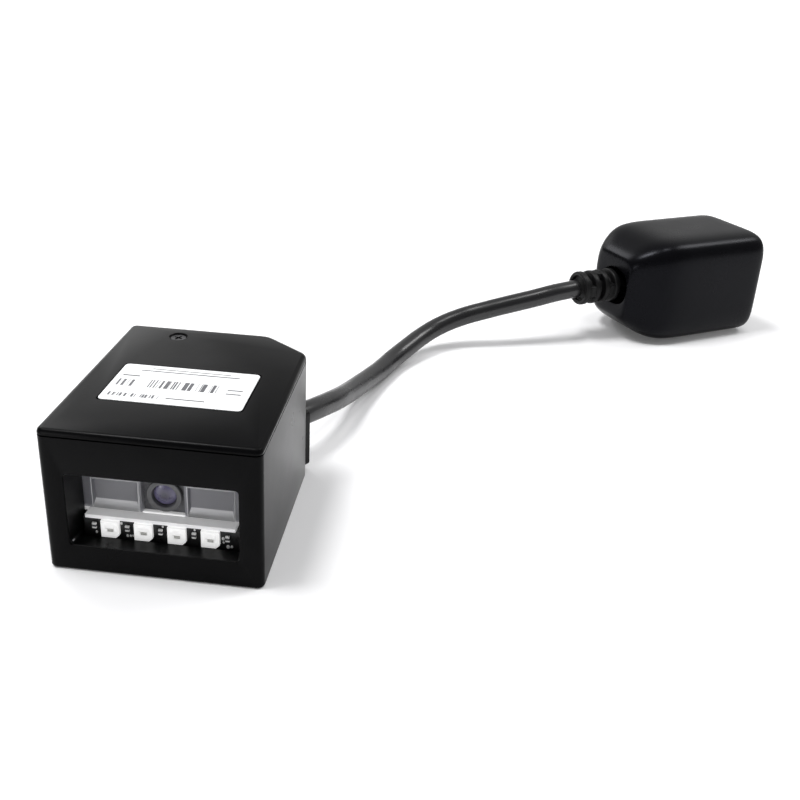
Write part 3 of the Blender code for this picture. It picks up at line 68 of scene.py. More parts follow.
# The photograph's camera
CAMERA_PLACE = Vector((0.053833, -0.164181, 0.112114))
CAMERA_AIM = Vector((-0.090355, 0.910062, -0.404503)).normalized()
CAMERA_ROLL = math.radians(2.59)
CAMERA_LENS = 42.861
CAMERA_SENSOR = 36.0
CAMERA_SHIFT = (0.025, -0.0625)

# Lights: name, place, width and power
LIGHTS = [
    ("key_light", (-0.30, -0.05, 0.95), 0.32, 6.6),
    ("back_light", (-0.48, 0.84, 0.45), 0.50, 0.8),
    ("ridge_light", (-0.60, 0.53, 0.58), 0.36, 2.4),
    ("side_light", (0.68, 0.36, 0.80), 0.34, 2.8),
    ("cable_light", (0.20, 0.05, 0.95), 0.22, 1.3),
    ("window_light", (-0.36, -0.46, 0.12), 0.16, 0.4),
]
LIGHTS_AIM = Vector((0.03, 0.04, 0.01))

# The world's brighter sides: direction and added strength
WORLD_SIDES = [((0.0, 0.0, 1.0), 0.1), ((0.1, 0.88, 0.45), 0.28), ((0.6, 0.78, 0.18), 0.2)]
SIDE_START = 0.3

# The floor grows white where it is seen between these distances from the reader
FLOOR_FADE = (0.16, 0.9)
FLOOR_DROP = 0.0001

# The cable's route, from the grommet to the boot
CABLE_ROUTE = [
    (0.01667, 0.02235, 0.0110),
    (0.0194, 0.0272, 0.0104),
    (0.0218, 0.0332, 0.0092),
    (0.0237, 0.0393, 0.0078),
    (0.0252, 0.0460, 0.0062),
    (0.0270, 0.0539, 0.0047),
    (0.0290, 0.0614, 0.0036),
    (0.0312, 0.0685, 0.0030),
    (0.0337, 0.0758, 0.0031),
    (0.0369, 0.0821, 0.0040),
    (0.0407, 0.0884, 0.0053),
    (0.0456, 0.0936, 0.0070),
    (0.0515, 0.0969, 0.0089),
    (0.0584, 0.0988, 0.0109),
    (0.0656, 0.1009, 0.0127),
    (0.0724, 0.1032, 0.0142),
    (0.0778, 0.1056, 0.0153),
    (0.08494, 0.10973, 0.0160),
]

# Window and its tunnel
GAP = 0.0003
WALL = 0.0020
WINDOW_WIDTH = 0.0322
WINDOW_HEIGHT = 0.0151
WINDOW_SILL = 0.0055
TUNNEL_REACH = 0.0061

# Print on the label, in metres from its left front corner: left, right, near, far, pitch of its bars
LABEL_PRINT = [
    (0.0012, 0.0110, 0.0018, 0.0032, 0.00045),
    (0.0125, 0.0200, 0.0022, 0.0026, 0.0),
    (0.0012, 0.0046, 0.0105, 0.0110, 0.0),
    (0.0012, 0.0046, 0.0062, 0.0090, 0.00055),
    (0.0070, 0.0210, 0.0062, 0.0096, 0.0009),
    (0.0230, 0.0260, 0.0062, 0.0066, 0.0),
    (0.0230, 0.0260, 0.0078, 0.0082, 0.0),
    (0.0040, 0.0240, 0.0132, 0.0136, 0.0),
    (0.0060, 0.0220, 0.0143, 0.0146, 0.0),
]

# Clear cover
COVER_THICKNESS = 0.0012
COVER_OVERLAP = 0.0014
LIP_THICKNESS = 0.0008
LIP_WIDTH = 0.0288
CELL_WIDTH = 0.0093
CELL_HEIGHT = 0.0068
CELL_CENTRE = 0.0092
CELL_RISE = 0.0132
CELL_RIM = 0.00018
CELL_RIM_SLOPE = 0.3
CELL_RIM_HEIGHT = 0.0002
CELL_WALL = 0.0004
CELL_DEPTH = 0.0007
CELL_FOOT = 0.0012
NOTCH_WIDTH = 0.0082
# Thickness of the glint strip under the lens, a glowing painted highlight
GLINT = 0.00011
# A pale strip in the tunnel's lower left corner, a painted highlight: its start, end, width and the share of its
# width at the end
PAINTED_STREAK_START = (-0.01600, -0.0241, 0.00556)
PAINTED_STREAK_END = (-0.01590, -0.0206, 0.00560)
PAINTED_STREAK_WIDTH = 0.0007
PAINTED_STREAK_END_SHARE = 0.6

# Camera barrel and lens
BARREL_EDGE = 0.0001
BARREL_STEP = 0.0006
BARREL_BORE = 0.0023
BARREL_FLANGE = 0.0006
BARREL_BODY = 0.0030
LENS_SETBACK = 0.0002
LENS_SAG = 0.0006
LENS_STEPS = 10
LENS_BACK = 0.0016

# Lamp board: solder pads by x, z and width
LED_CORNER = 0.0007
LED_RIM = 0.0003
LED_WELL = 0.00145
LED_PROUD = 0.00006
LED_DIE = (0.00060, 0.00007, 0.00034)
LED_DIE_SHIFT = 0.0001
LED_WIRE = 0.00006
LED_WIRE_REACH = 0.0009
RESISTOR_END_SHARE = 0.3
SOLDER_FLATNESS = 0.35
SOLDER_STRETCH = 1.3
SOLDER_PADS = [
    (-0.01268, 0.00563, 0.0005), (-0.00770, 0.00812, 0.0005), (-0.00665, 0.00548, 0.0005),
    (-0.00605, 0.00552, 0.0004), (-0.00555, 0.00560, 0.0004), (0.01183, 0.00705, 0.0006),
    (0.01190, 0.00620, 0.0004), (0.01274, 0.00530, 0.0007), (0.01345, 0.00540, 0.0005),
    (0.00030, 0.00830, 0.0004), (0.00640, 0.00830, 0.0004),
]

# Colours of the lead wires' sleeves
SLEEVES = [(0.5, 0.02, 0.02), (0.75, 0.75, 0.72), (0.02, 0.2, 0.05), (0.02, 0.02, 0.02)]

# Connector block: its place is under the middle of the end that the boot enters
HOOD_PLACE = (0.0956, 0.11607, 0.0)
HOOD_TURN = math.radians(30.75)
HOOD_LENGTH = 0.0460
HOOD_WIDTH = 0.0306
HOOD_HEIGHT = 0.0319
HOOD_TAPER = 0.0100
HOOD_ROUND = 0.0107
HOOD_END_ROUND = 0.0045
TAPER_BEND = 0.0025
TAPER_END_INSET = 0.0023
TAPER_END_LENGTH = 0.0026
TAPER_CREASE = 0.0009
TAPER_CURVE = 4
TAPER_SIDE = 0.0052
TAPER_TOP = 0.0046
TAPER_BOTTOM = 0.0049
BOOT_LENGTH = 0.0121
BOOT_RISE = 0.0160
BOOT_RADIUS = 0.0050
BOOT_GROOVE_RADIUS = 0.0028
BOOT_RINGS = 4
BOOT_GROOVE = 0.0017
BOOT_FRONT_RING = 0.0018
BOOT_ENTRY = 0.0013
BOOT_MOUTH = 0.0038
HOLLOW_SHIFT = (-0.0015, 0.0002)
HOLLOW_HALF = (0.0070, 0.0056)
HOLLOW_DEPTH = 0.0050
JACK_WIDTH = 0.0160
JACK_HEIGHT = 0.0136
JACK_LENGTH = 0.0212


# Sizes and colours that a user would change

def length(name, description, default, low=0.0, high=0.1):
    """A length in metres, as a property."""
    return FloatProperty(
        name=name, description=description, default=default, min=low, max=high,
        unit="LENGTH", subtype="DISTANCE", precision=5,
    )


def share(name, description, default):
    """A share from 0 to 1, as a property."""
    return FloatProperty(
        name=name, description=description, default=default, min=0.0, max=1.0, subtype="FACTOR",
    )


def colour(name, description, default):
    """A colour, as a property."""
    return FloatVectorProperty(
        name=name, description=description, default=default, min=0.0, max=1.0, size=3,
        subtype="COLOR",
    )


class HousingSettings(bpy.types.PropertyGroup):
    """Housing and lid."""

    plastic: colour("Plastic", "Colour of the moulded housing and lid", (0.0018, 0.0018, 0.0021))
    gloss: share("Roughness", "Roughness of the moulded surface", 0.3)
    sheen: share("Reflection", "Strength of the moulded surface's reflections", 0.06)
    mouth_round: length("Window edge", "Rounding of the window's front edge", 0.00025, 0.00005, 0.0006)
    grain: length("Grain", "Size of the moulded grain", 0.00035, 0.0001, 0.002)


class LabelSettings(bpy.types.PropertyGroup):
    """Label on the lid."""

    paper: colour("Paper", "Colour of the label", (0.86, 0.87, 0.88))
    ink: colour("Ink", "Colour of the rules and bars", (0.06, 0.06, 0.07))


class CableSettings(bpy.types.PropertyGroup):
    """Cable, grommet and boot."""

    diameter: length("Diameter", "Diameter of the cable", 0.0053, 0.003, 0.009)
    jacket: colour("Jacket", "Colour of the cable's jacket", (0.006, 0.006, 0.0068))
    rubber: colour("Rubber", "Colour of the grommet and the boot", (0.0035, 0.0035, 0.0038))


class ConnectorSettings(bpy.types.PropertyGroup):
    """Connector block."""

    plastic: colour("Plastic", "Colour of the connector block", (0.0018, 0.0018, 0.0024))


class StudioSettings(bpy.types.PropertyGroup):
    """Floor, lights and camera."""

    floor: colour("Floor", "Colour of the floor", (0.86, 0.86, 0.87))
    floor_radius: FloatProperty(
        name="Floor radius", description="Radius of the floor", default=4.0, min=1.0, max=10.0,
        unit="LENGTH", subtype="DISTANCE",
    )
    floor_lift: share("Floor lift", "Light that the floor adds where it is seen, beside the reader", 0.08)
    light_level: FloatProperty(
        name="Lights", description="Level of all the lights", default=1.0, min=0.0, max=4.0,
    )
    world_level: share("World", "Strength of the light from all round", 0.2)


class ReaderSettings(bpy.types.PropertyGroup):
    """All of the reader's settings."""

    housing: PointerProperty(type=HousingSettings)
    label: PointerProperty(type=LabelSettings)
    cable: PointerProperty(type=CableSettings)
    connector: PointerProperty(type=ConnectorSettings)
    studio: PointerProperty(type=StudioSettings)


# Materials

class Finish:
    """A Principled material whose colour, roughness and height vary over the surface."""

    def __init__(self, name, base, roughness, **sockets):
        self.material = bpy.data.materials.new(name)
        self.material.use_nodes = True
        self.nodes = self.material.node_tree.nodes
        self.links = self.material.node_tree.links
        self.shader = self.nodes["Principled BSDF"]
        self.base = base
        self.shader.inputs["Base Color"].default_value = (*base, 1.0)
        self.shader.inputs["Roughness"].default_value = roughness
        for socket, value in sockets.items():
            self.shader.inputs[socket.replace("_", " ")].default_value = value
        self.place = self.nodes.new("ShaderNodeTexCoord").outputs["Object"]
        self.height = None

    def noise(self, size, detail=3.0, stretch=(1.0, 1.0, 1.0)):
        """Noise with features of a size in metres."""
        mapping = self.nodes.new("ShaderNodeMapping")
        mapping.inputs["Scale"].default_value = stretch
        texture = self.nodes.new("ShaderNodeTexNoise")
        texture.inputs["Scale"].default_value = 1 / size
        texture.inputs["Detail"].default_value = detail
        self.links.new(self.place, mapping.inputs["Vector"])
        self.links.new(mapping.outputs["Vector"], texture.inputs["Vector"])
        return texture.outputs["Fac"]

    def cells(self, size):
        """Rounded cells of a size in metres."""
        texture = self.nodes.new("ShaderNodeTexVoronoi")
        texture.feature = "SMOOTH_F1"
        texture.inputs["Scale"].default_value = 1 / size
        self.links.new(self.place, texture.inputs["Vector"])
        return texture.outputs["Distance"]

    def mapped(self, value, low, high, start=0.3, end=0.7):
        """A value brought from start..end to low..high."""
        node = self.nodes.new("ShaderNodeMapRange")
        for socket, number in zip(("From Min", "From Max", "To Min", "To Max"), (start, end, low, high)):
            node.inputs[socket].default_value = number
        self.links.new(value, node.inputs["Value"])
        return node.outputs["Result"]

    def combined(self, operation, first, second):
        """Two values, or a value and a number, through a Math node."""
        node = self.nodes.new("ShaderNodeMath")
        node.operation = operation
        for socket, value in zip(node.inputs, (first, second)):
            if isinstance(value, (int, float)):
                socket.default_value = value
            else:
                self.links.new(value, socket)
        return node.outputs["Value"]

    def axes(self):
        """The surface's x and y."""
        node = self.nodes.new("ShaderNodeSeparateXYZ")
        self.links.new(self.place, node.inputs["Vector"])
        return node.outputs["X"], node.outputs["Y"]

    def between(self, value, low, high):
        """1 where a value is between two numbers."""
        above = self.combined("GREATER_THAN", value, low)
        below = self.combined("LESS_THAN", value, high)
        return self.combined("MULTIPLY", above, below)

    def from_axis(self, place):
        """Distance from an axis through a place, along y."""
        node = self.nodes.new("ShaderNodeVectorMath")
        node.operation = "SUBTRACT"
        node.inputs[1].default_value = place
        self.links.new(self.place, node.inputs[0])
        flat = self.nodes.new("ShaderNodeVectorMath")
        flat.operation = "MULTIPLY"
        flat.inputs[1].default_value = (1.0, 0.0, 1.0)
        self.links.new(node.outputs["Vector"], flat.inputs[0])
        size = self.nodes.new("ShaderNodeVectorMath")
        size.operation = "LENGTH"
        self.links.new(flat.outputs["Vector"], size.inputs[0])
        return size.outputs["Value"]

    def stripes(self, value, pitch):
        """Bars of uneven width across a value, as 0 and 1."""
        texture = self.nodes.new("ShaderNodeTexNoise")
        texture.noise_dimensions = "1D"
        texture.inputs["Scale"].default_value = 1 / pitch
        texture.inputs["Detail"].default_value = 1.0
        self.links.new(value, texture.inputs["W"])
        return self.combined("GREATER_THAN", texture.outputs["Fac"], 0.5)

    def mixed(self, share, first, second):
        """One colour turning into another."""
        node = self.nodes.new("ShaderNodeMix")
        node.data_type = "RGBA"
        self.links.new(share, node.inputs["Factor"])
        colours = [socket for socket in node.inputs if socket.type == "RGBA"]
        for socket, value in zip(colours, (first, second)):
            if isinstance(value, bpy.types.NodeSocket):
                self.links.new(value, socket)
            else:
                socket.default_value = (*value, 1.0)
        return [socket for socket in node.outputs if socket.type == "RGBA"][0]

    def tint(self, value, spread, start=0.3, end=0.7):
        """The base colour, darker and lighter by a share where the value is low and high."""
        ramp = self.nodes.new("ShaderNodeValToRGB")
        low, high = ramp.color_ramp.elements
        low.position, high.position = start, end
        low.color = (*(channel * (1 - spread) for channel in self.base), 1.0)
        high.color = (*(min(channel * (1 + spread), 1.0) for channel in self.base), 1.0)
        self.links.new(value, ramp.inputs["Fac"])
        self.links.new(ramp.outputs["Color"], self.shader.inputs["Base Color"])
        return self

    def rub(self, value, low, high):
        """Roughness from low to high."""
        self.links.new(self.mapped(value, low, high), self.shader.inputs["Roughness"])
        return self

    def bump(self, value, depth, strength=1.0):
        """Surface height from a value, added to any height that is already there."""
        node = self.nodes.new("ShaderNodeBump")
        node.inputs["Strength"].default_value = strength
        node.inputs["Distance"].default_value = depth
        self.links.new(value, node.inputs["Height"])
        if self.height:
            self.links.new(self.height, node.inputs["Normal"])
        self.height = node.outputs["Normal"]
        self.links.new(self.height, self.shader.inputs["Normal"])
        return self


def moulded_plastic(name, base, roughness, grain, glancing=False, **sockets):
    """Moulded plastic with a fine grain, soft smears in its gloss and, if asked, more gloss at a glance."""
    finish = Finish(name, base, roughness, **sockets)
    if glancing:
        facing = finish.nodes.new("ShaderNodeLayerWeight").outputs["Facing"]
        finish.links.new(finish.mapped(facing, 0.0, 1.0, *GLANCE), finish.shader.inputs["Coat Weight"])
        finish.shader.inputs["Coat Roughness"].default_value = GLANCE_ROUGHNESS
    smear = finish.noise(0.014, 4.0)
    finish.tint(finish.noise(0.006), 0.25)
    finish.rub(smear, roughness - 0.03, roughness + 0.04)
    finish.bump(finish.cells(grain), grain * 0.03, 0.3)
    return finish.bump(finish.noise(0.009, 1.0), 0.00002, 0.15).material


def rubber(name, base, roughness, reflection=0.35, grain=0.0004):
    """Dull rubber with a fine uneven skin."""
    finish = Finish(name, base, roughness, Specular_IOR_Level=reflection)
    finish.tint(finish.noise(0.004), 0.15)
    finish.rub(finish.noise(0.006, 4.0), roughness - 0.03, roughness + 0.04)
    return finish.bump(finish.noise(grain, 1.0), grain * 0.02, 0.4).material


def turned_metal(name, base, roughness):
    """Plated metal with fine scratches and dull patches."""
    finish = Finish(name, base, roughness, Metallic=1.0)
    finish.tint(finish.noise(0.0015), 0.18)
    finish.rub(finish.noise(0.0008, 5.0), roughness - 0.08, roughness + 0.15)
    return finish.bump(finish.noise(0.0002, 3.0, (1.0, 6.0, 6.0)), 0.00001, 0.5).material


def packaged(name, base, roughness):
    """The fine sandy surface of a moulded electronic package."""
    finish = Finish(name, base, roughness)
    finish.tint(finish.noise(0.0006), 0.2)
    finish.rub(finish.noise(0.0012), roughness - 0.08, roughness + 0.1)
    return finish.bump(finish.noise(0.00008, 2.0), 0.00001, 0.5).material


def board(name, base):
    """Laminate under solder mask: weave, mask ripple and a slight gloss."""
    finish = Finish(name, base, 0.35, Coat_Weight=0.3, Coat_Roughness=0.2)
    finish.tint(finish.noise(0.0009, 2.0, (1.0, 0.25, 0.25)), 0.22)
    finish.rub(finish.noise(0.002), 0.26, 0.45)
    return finish.bump(finish.noise(0.0005, 2.0), 0.00002, 0.4).material


def seen_rays(nodes, links):
    """1 for rays from the camera, from gloss and through glass."""
    path = nodes.new("ShaderNodeLightPath")
    seen = path.outputs["Is Camera Ray"]
    for name in ("Is Glossy Ray", "Is Transmission Ray"):
        either = nodes.new("ShaderNodeMath")
        either.operation = "MAXIMUM"
        links.new(seen, either.inputs[0])
        links.new(path.outputs[name], either.inputs[1])
        seen = either.outputs["Value"]
    return seen


# Shapes

def dress(finish, *names):
    """Give CAD nodes a material by their slots."""
    for name in names:
        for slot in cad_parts[name].material_slots:
            slot.material = finish


def cuboid(low, high):
    """A box between two corners."""
    low, high = Vector(low), Vector(high)
    bm = bmesh.new()
    place = Matrix.Translation((low + high) / 2) @ Matrix.Diagonal((*(high - low), 1.0))
    bmesh.ops.create_cube(bm, size=1.0, matrix=place)
    return bm


def split(bm, axis, *places):
    """Cut every face along planes across an axis."""
    for place in places:
        point, normal = Vector(), Vector()
        point[axis] = place
        normal[axis] = 1.0
        everything = bm.verts[:] + bm.edges[:] + bm.faces[:]
        bmesh.ops.bisect_plane(bm, geom=everything, dist=MERGE_DISTANCE, plane_co=point, plane_no=normal)


def faces_within(bm, low, high, facing):
    """Faces that look in a direction and whose middle lies between two corners."""
    found = []
    for face in bm.faces:
        middle = face.calc_center_median()
        inside = all(least < value < most for least, value, most in zip(low, middle, high))
        if inside and face.normal.dot(Vector(facing)) > FACING_LEAST:
            found.append(face)
    return found


def sunk(bm, faces, margin, depth):
    """Inset faces as one region and push the middle in by a depth, out if it is negative."""
    bmesh.ops.inset_region(bm, faces=faces, thickness=margin, depth=-depth, use_even_offset=True)
    return faces


def rounded_edges(bm, edges, width, segments=3):
    bmesh.ops.bevel(
        bm, geom=edges, offset=width, offset_type="OFFSET", affect="EDGES", segments=segments,
        profile=0.5, material=-1, clamp_overlap=True,
    )


def corner_edges(bm, angle=SHARP_ANGLE):
    """Edges where two faces meet at more than an angle."""
    return [edge for edge in bm.edges if edge.is_manifold and edge.calc_face_angle() > angle]


def turned(profile, start, direction, steps=48):
    """A closed body spun from points (distance along the axis, distance from it)."""
    bm = bmesh.new()
    verts = [bm.verts.new((0.0, radius, along)) for along, radius in profile]
    edges = [bm.edges.new(pair) for pair in zip(verts, verts[1:])]
    bmesh.ops.spin(
        bm, geom=verts + edges, cent=(0, 0, 0), axis=(0, 0, 1), dvec=(0, 0, 0),
        angle=math.tau, steps=steps, use_merge=True,
    )
    bmesh.ops.remove_doubles(bm, verts=bm.verts, dist=MERGE_DISTANCE)
    turn = UP.rotation_difference(Vector(direction)).to_matrix().to_4x4()
    bmesh.ops.transform(bm, matrix=Matrix.Translation(start) @ turn, verts=bm.verts)
    return bm


def joined(bodies):
    """Several bodies as one bmesh."""
    bm = bmesh.new()
    for body in bodies:
        mesh = bpy.data.meshes.new("part")
        body.to_mesh(mesh)
        body.free()
        bm.from_mesh(mesh)
        bpy.data.meshes.remove(mesh)
    return bm


def cad_copy(node):
    """A CAD node's mesh, its triangles merged and its flat areas made single faces."""
    bm = bmesh.new()
    bm.from_mesh(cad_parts[node].data)
    bmesh.ops.remove_doubles(bm, verts=bm.verts, dist=MERGE_DISTANCE)
    bmesh.ops.dissolve_limit(
        bm, angle_limit=FLAT_ANGLE, use_dissolve_boundaries=False, verts=bm.verts, edges=bm.edges,
        delimit=set(),
    )
    return bm


def add_piece(name, data, slot, *finishes, replaces=()):
    """Link a finished piece, let it ride with the reader and stand for its CAD nodes."""
    piece = bpy.data.objects.new(name, data)
    bpy.context.scene.collection.objects.link(piece)
    for finish in finishes:
        data.materials.append(finish)
    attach(piece, BODY)
    if replaces:
        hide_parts(*replaces)
    return piece


def add_solid(name, bm, slot, *finishes, replaces=(), bevel=0.0, levels=0, place=None):
    """Make a bmesh a smooth-shaded piece, with a Bevel or a Subdivision Surface where it has one."""
    if place:
        bmesh.ops.transform(bm, matrix=place, verts=bm.verts)
    bmesh.ops.recalc_face_normals(bm, faces=bm.faces)
    mesh = bpy.data.meshes.new(name)
    bm.to_mesh(mesh)
    bm.free()
    mesh.shade_smooth()
    if not levels:
        mesh.set_sharp_from_angle(angle=SHARP_ANGLE)
    piece = add_piece(name, mesh, slot, *finishes, replaces=replaces)
    if bevel:
        modifier = piece.modifiers.new("Edges", "BEVEL")
        modifier.width = bevel
        modifier.segments = 3
        modifier.limit_method = "ANGLE"
        modifier.angle_limit = SHARP_ANGLE
    if levels:
        modifier = piece.modifiers.new("Form", "SUBSURF")
        modifier.levels = modifier.render_levels = levels
    return piece


# Operators

class READER_OT_housing(bpy.types.Operator):
    """Make the housing with its glossy window tunnel, and the lid"""

    bl_idname = "reader.housing"
    bl_label = "Housing and lid"

    def execute(self, context):
        settings = context.scene.reader.housing
        satin = moulded_plastic(
            "housing_plastic", settings.plastic, settings.gloss, settings.grain, glancing=True,
            Specular_IOR_Level=settings.sheen,
        )
        polished = moulded_plastic(
            "tunnel_plastic", settings.plastic, settings.gloss, settings.grain * 2,
            Specular_IOR_Level=0.22,
        )
        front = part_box("housing_body")[0].y
        bm = cad_copy("housing_body")
        half = WINDOW_WIDTH / 2 + GAP
        top = WINDOW_SILL + WINDOW_HEIGHT + GAP
        mouth = [
            edge for edge in corner_edges(bm)
            if all(
                abs(vert.co.y - front) < MERGE_DISTANCE and abs(vert.co.x) < half
                and WINDOW_SILL - GAP < vert.co.z < top
                for vert in edge.verts
            )
        ]
        rounded_edges(bm, mouth, settings.mouth_round, 2)
        for face in bm.faces:
            middle = face.calc_center_median()
            inside = abs(middle.x) < half and WINDOW_SILL - GAP < middle.z < top
            if inside and front + GAP < middle.y < front + TUNNEL_REACH:
                face.material_index = 1
        add_solid("housing", bm, "housing_black", satin, polished, replaces=["housing_body"])
        add_solid("lid", cad_copy("housing_lid"), "lid_black", satin, replaces=["housing_lid"])
        return {"FINISHED"}


class READER_OT_label(bpy.types.Operator):
    """Make the label, printed with plain rules and bars"""

    bl_idname = "reader.label"
    bl_label = "Label"

    def execute(self, context):
        settings = context.scene.reader.label
        finish = Finish("label_paper", settings.paper, 0.35, Coat_Weight=0.2)
        finish.rub(finish.noise(0.002), 0.3, 0.45)
        finish.bump(finish.noise(0.0004, 4.0), 0.00001, 0.3)
        low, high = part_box("lid_label")
        ink = None
        for left, right, near, far, pitch in LABEL_PRINT:
            mark = self.mark(finish, low.x + left, low.x + right, low.y + near, low.y + far, pitch)
            ink = finish.combined("MAXIMUM", ink, mark) if ink else mark
        shaded = [0.97 * part for part in settings.paper]
        paper = finish.mixed(finish.noise(0.003, 4.0), settings.paper, shaded)
        printed = finish.mixed(ink, paper, settings.ink)
        finish.links.new(printed, finish.shader.inputs["Base Color"])
        add_solid(
            "label", cad_copy("lid_label"), "label_white", finish.material,
            replaces=["lid_label"], bevel=0.00005,
        )
        return {"FINISHED"}

    def mark(self, finish, left, right, near, far, pitch):
        """1 inside a rectangle, in bars of a pitch where it has one."""
        across, back = finish.axes()
        inside = finish.combined(
            "MULTIPLY", finish.between(across, left, right), finish.between(back, near, far),
        )
        if pitch:
            bars = finish.stripes(across, pitch)
            inside = finish.combined("MULTIPLY", inside, bars)
        return inside


class READER_OT_fasteners(bpy.types.Operator):
    """Finish the screws and the threaded inserts"""

    bl_idname = "reader.fasteners"
    bl_label = "Screws and inserts"

    def execute(self, context):
        black = turned_metal("blackened_steel", (0.06, 0.06, 0.063), 0.38)
        steel = turned_metal("screw_steel", (0.55, 0.56, 0.58), 0.3)
        brass = turned_metal("insert_brass", (0.72, 0.52, 0.24), 0.3)
        dress(black, "lid_screw", "frame_screw_left", "frame_screw_right")
        dress(
            steel, "engine_screw_left", "engine_screw_right",
            "main_board_screw_1", "main_board_screw_2", "main_board_screw_3",
        )
        dress(brass, "mounting_insert_left", "mounting_insert_right")
        return {"FINISHED"}


class READER_OT_window(bpy.types.Operator):
    """Make the clear cover with its two cells and its lip, and finish the frame behind it"""

    bl_idname = "reader.window"
    bl_label = "Window"

    def execute(self, context):
        low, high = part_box("engine_cover")
        front = high.y - COVER_THICKNESS
        bm = cuboid((low.x, front, low.z), high)
        lip_top = low.z + LIP_THICKNESS
        cell_top = CELL_RISE + CELL_HEIGHT / 2
        lip_half = LIP_WIDTH / 2
        edges = (CELL_CENTRE - CELL_WIDTH / 2, CELL_CENTRE + CELL_WIDTH / 2, NOTCH_WIDTH / 2, lip_half)
        split(bm, 0, *edges, *(-edge for edge in edges))
        split(bm, 2, lip_top, cell_top, high.z - COVER_OVERLAP)
        notch = NOTCH_WIDTH / 2
        for facing in (-1, 1):
            gap = faces_within(
                bm, (-notch, front - WALL, lip_top),
                (notch, high.y + WALL, high.z - COVER_OVERLAP), (0, facing, 0),
            )
            bmesh.ops.delete(bm, geom=gap, context="FACES")
        hole = [edge for edge in bm.edges if edge.is_boundary]
        bmesh.ops.bridge_loops(bm, edges=hole)
        for side in (-1, 1):
            self.cell(bm, side, front, lip_top, cell_top)
        lip = faces_within(
            bm, (-lip_half, front - WALL, low.z), (lip_half, front + GAP, lip_top), (0, -1, 0),
        )
        grown = bmesh.ops.extrude_face_region(bm, geom=lip)
        moved = [item for item in grown["geom"] if isinstance(item, bmesh.types.BMVert)]
        bmesh.ops.translate(bm, vec=(0, low.y - front, 0), verts=moved)
        bmesh.ops.delete(bm, geom=lip, context="FACES")
        # The lip takes the second material: pale, with a painted glow that stands in for the LEDs' light behind it
        for face in bm.faces:
            if face.calc_center_median().z < lip_top + MERGE_DISTANCE:
                face.material_index = 1
        # Pale bases with a painted glow for the lip, the foot slopes, the glint strip and the rims: painted light
        # and painted highlights
        clear = self.haze("clear_cover", (0.29, 0.29, 0.32), 0.35, 0.45)
        frosted_painted_glow = self.haze("clear_lip_painted_glow", (0.97, 0.97, 0.98), 0.42, 0.15, 0.16)
        slope = self.haze("clear_slope_painted_glow", (0.60, 0.60, 0.62), 0.4, 0.12, 0.08)
        glint = self.haze("clear_painted_glint", (0.97, 0.97, 0.98), 0.3, 0.1, 0.5)
        rims = self.haze("clear_rims_painted_glow", (0.62, 0.62, 0.64), 0.4, 0.2, 0.05)
        # A thin strip along the notch's lower edge, on the glint material: a painted highlight
        edge = cuboid((-notch, front - GLINT, lip_top - GAP), (notch, front + GAP, lip_top + GLINT))
        for face in edge.faces:
            face.material_index = 3
        add_solid(
            "window_cover", joined([bm, edge]), "clear_cover", clear, frosted_painted_glow, slope, glint, rims,
            replaces=["engine_cover"], bevel=0.00008,
        )
        # A pale strip in the tunnel's corner, a painted highlight
        self.painted_streak()
        engine = packaged("engine_plastic", (0.17, 0.17, 0.18), 0.55)
        dress(engine, "engine_frame")
        lamp = Finish("cell_lamp", (0.85, 0.8, 0.55), 0.4)
        lamp.tint(lamp.noise(0.0008), 0.1)
        lamp.bump(lamp.noise(0.0002), 0.00001, 0.5)
        dress(lamp.material, "cell_led_left", "cell_led_right")
        return {"FINISHED"}

    def painted_streak(self):
        """A thin pale rounded strip along the tunnel's lower left corner: a painted highlight, with a faint painted
        glow.
        """
        start, end = Vector(PAINTED_STREAK_START), Vector(PAINTED_STREAK_END)
        reach = (end - start).length
        half = PAINTED_STREAK_WIDTH / 2
        profile = [(0.0, 0.0), (half, half), (reach - half, half * PAINTED_STREAK_END_SHARE), (reach, 0.0)]
        streak_finish = self.haze("painted_streak_haze", (0.6, 0.6, 0.62), 0.3, 0.2, 0.05)
        add_solid("painted_highlight_streak", turned(profile, start, end - start, 12), "clear_cover", streak_finish)

    def cell(self, bm, side, front, bottom, top):
        """A well with a raised rim, steep walls and a long slope at its foot."""
        inner = CELL_CENTRE - CELL_WIDTH / 2
        outer = CELL_CENTRE + CELL_WIDTH / 2
        left, right = sorted((side * inner, side * outer))
        well = faces_within(bm, (left, front - WALL, bottom), (right, front + GAP, top), (0, -1, 0))
        sunk(bm, well, CELL_RIM * CELL_RIM_SLOPE, -CELL_RIM_HEIGHT)
        rim = {face for edge in well[0].edges for face in edge.link_faces} - set(well)
        sunk(bm, well, CELL_RIM, 0.0)
        rim |= {face for edge in well[0].edges for face in edge.link_faces} - set(well)
        # The rims take a pale material with a painted glow: a painted highlight on the frames
        for face in rim:
            face.material_index = 4
        sunk(bm, well, CELL_WALL, CELL_DEPTH)
        foot = min(vert.co.z for vert in well[0].verts)
        lift = [vert for vert in well[0].verts if vert.co.z < foot + MERGE_DISTANCE]
        bmesh.ops.translate(bm, vec=(0, 0, CELL_FOOT), verts=lift)
        slope = {face for face in lift[0].link_faces if face in lift[1].link_faces} - set(well)
        # The foot slopes take a lighter material with a painted glow: painted light
        for face in slope:
            face.material_index = 2

    def haze(self, name, base, roughness, clearness, glow=0.0):
        """Cloudy clear plastic with faint flow marks and a painted glow of the given strength: its emission stands
        in for the LEDs' light through it.
        """
        finish = Finish(
            name, base, roughness, Transmission_Weight=clearness, IOR=1.49, Coat_Weight=0.3,
            Coat_Roughness=0.2, Emission_Color=(1.0, 1.0, 1.0, 1.0), Emission_Strength=glow,
        )
        finish.tint(finish.noise(0.005, 1.0, (1.0, 1.0, 0.4)), 0.06)
        finish.rub(finish.noise(0.004, 1.0), roughness - 0.05, roughness + 0.05)
        return finish.bump(finish.noise(0.006, 1.0), 0.00002, 0.2).material


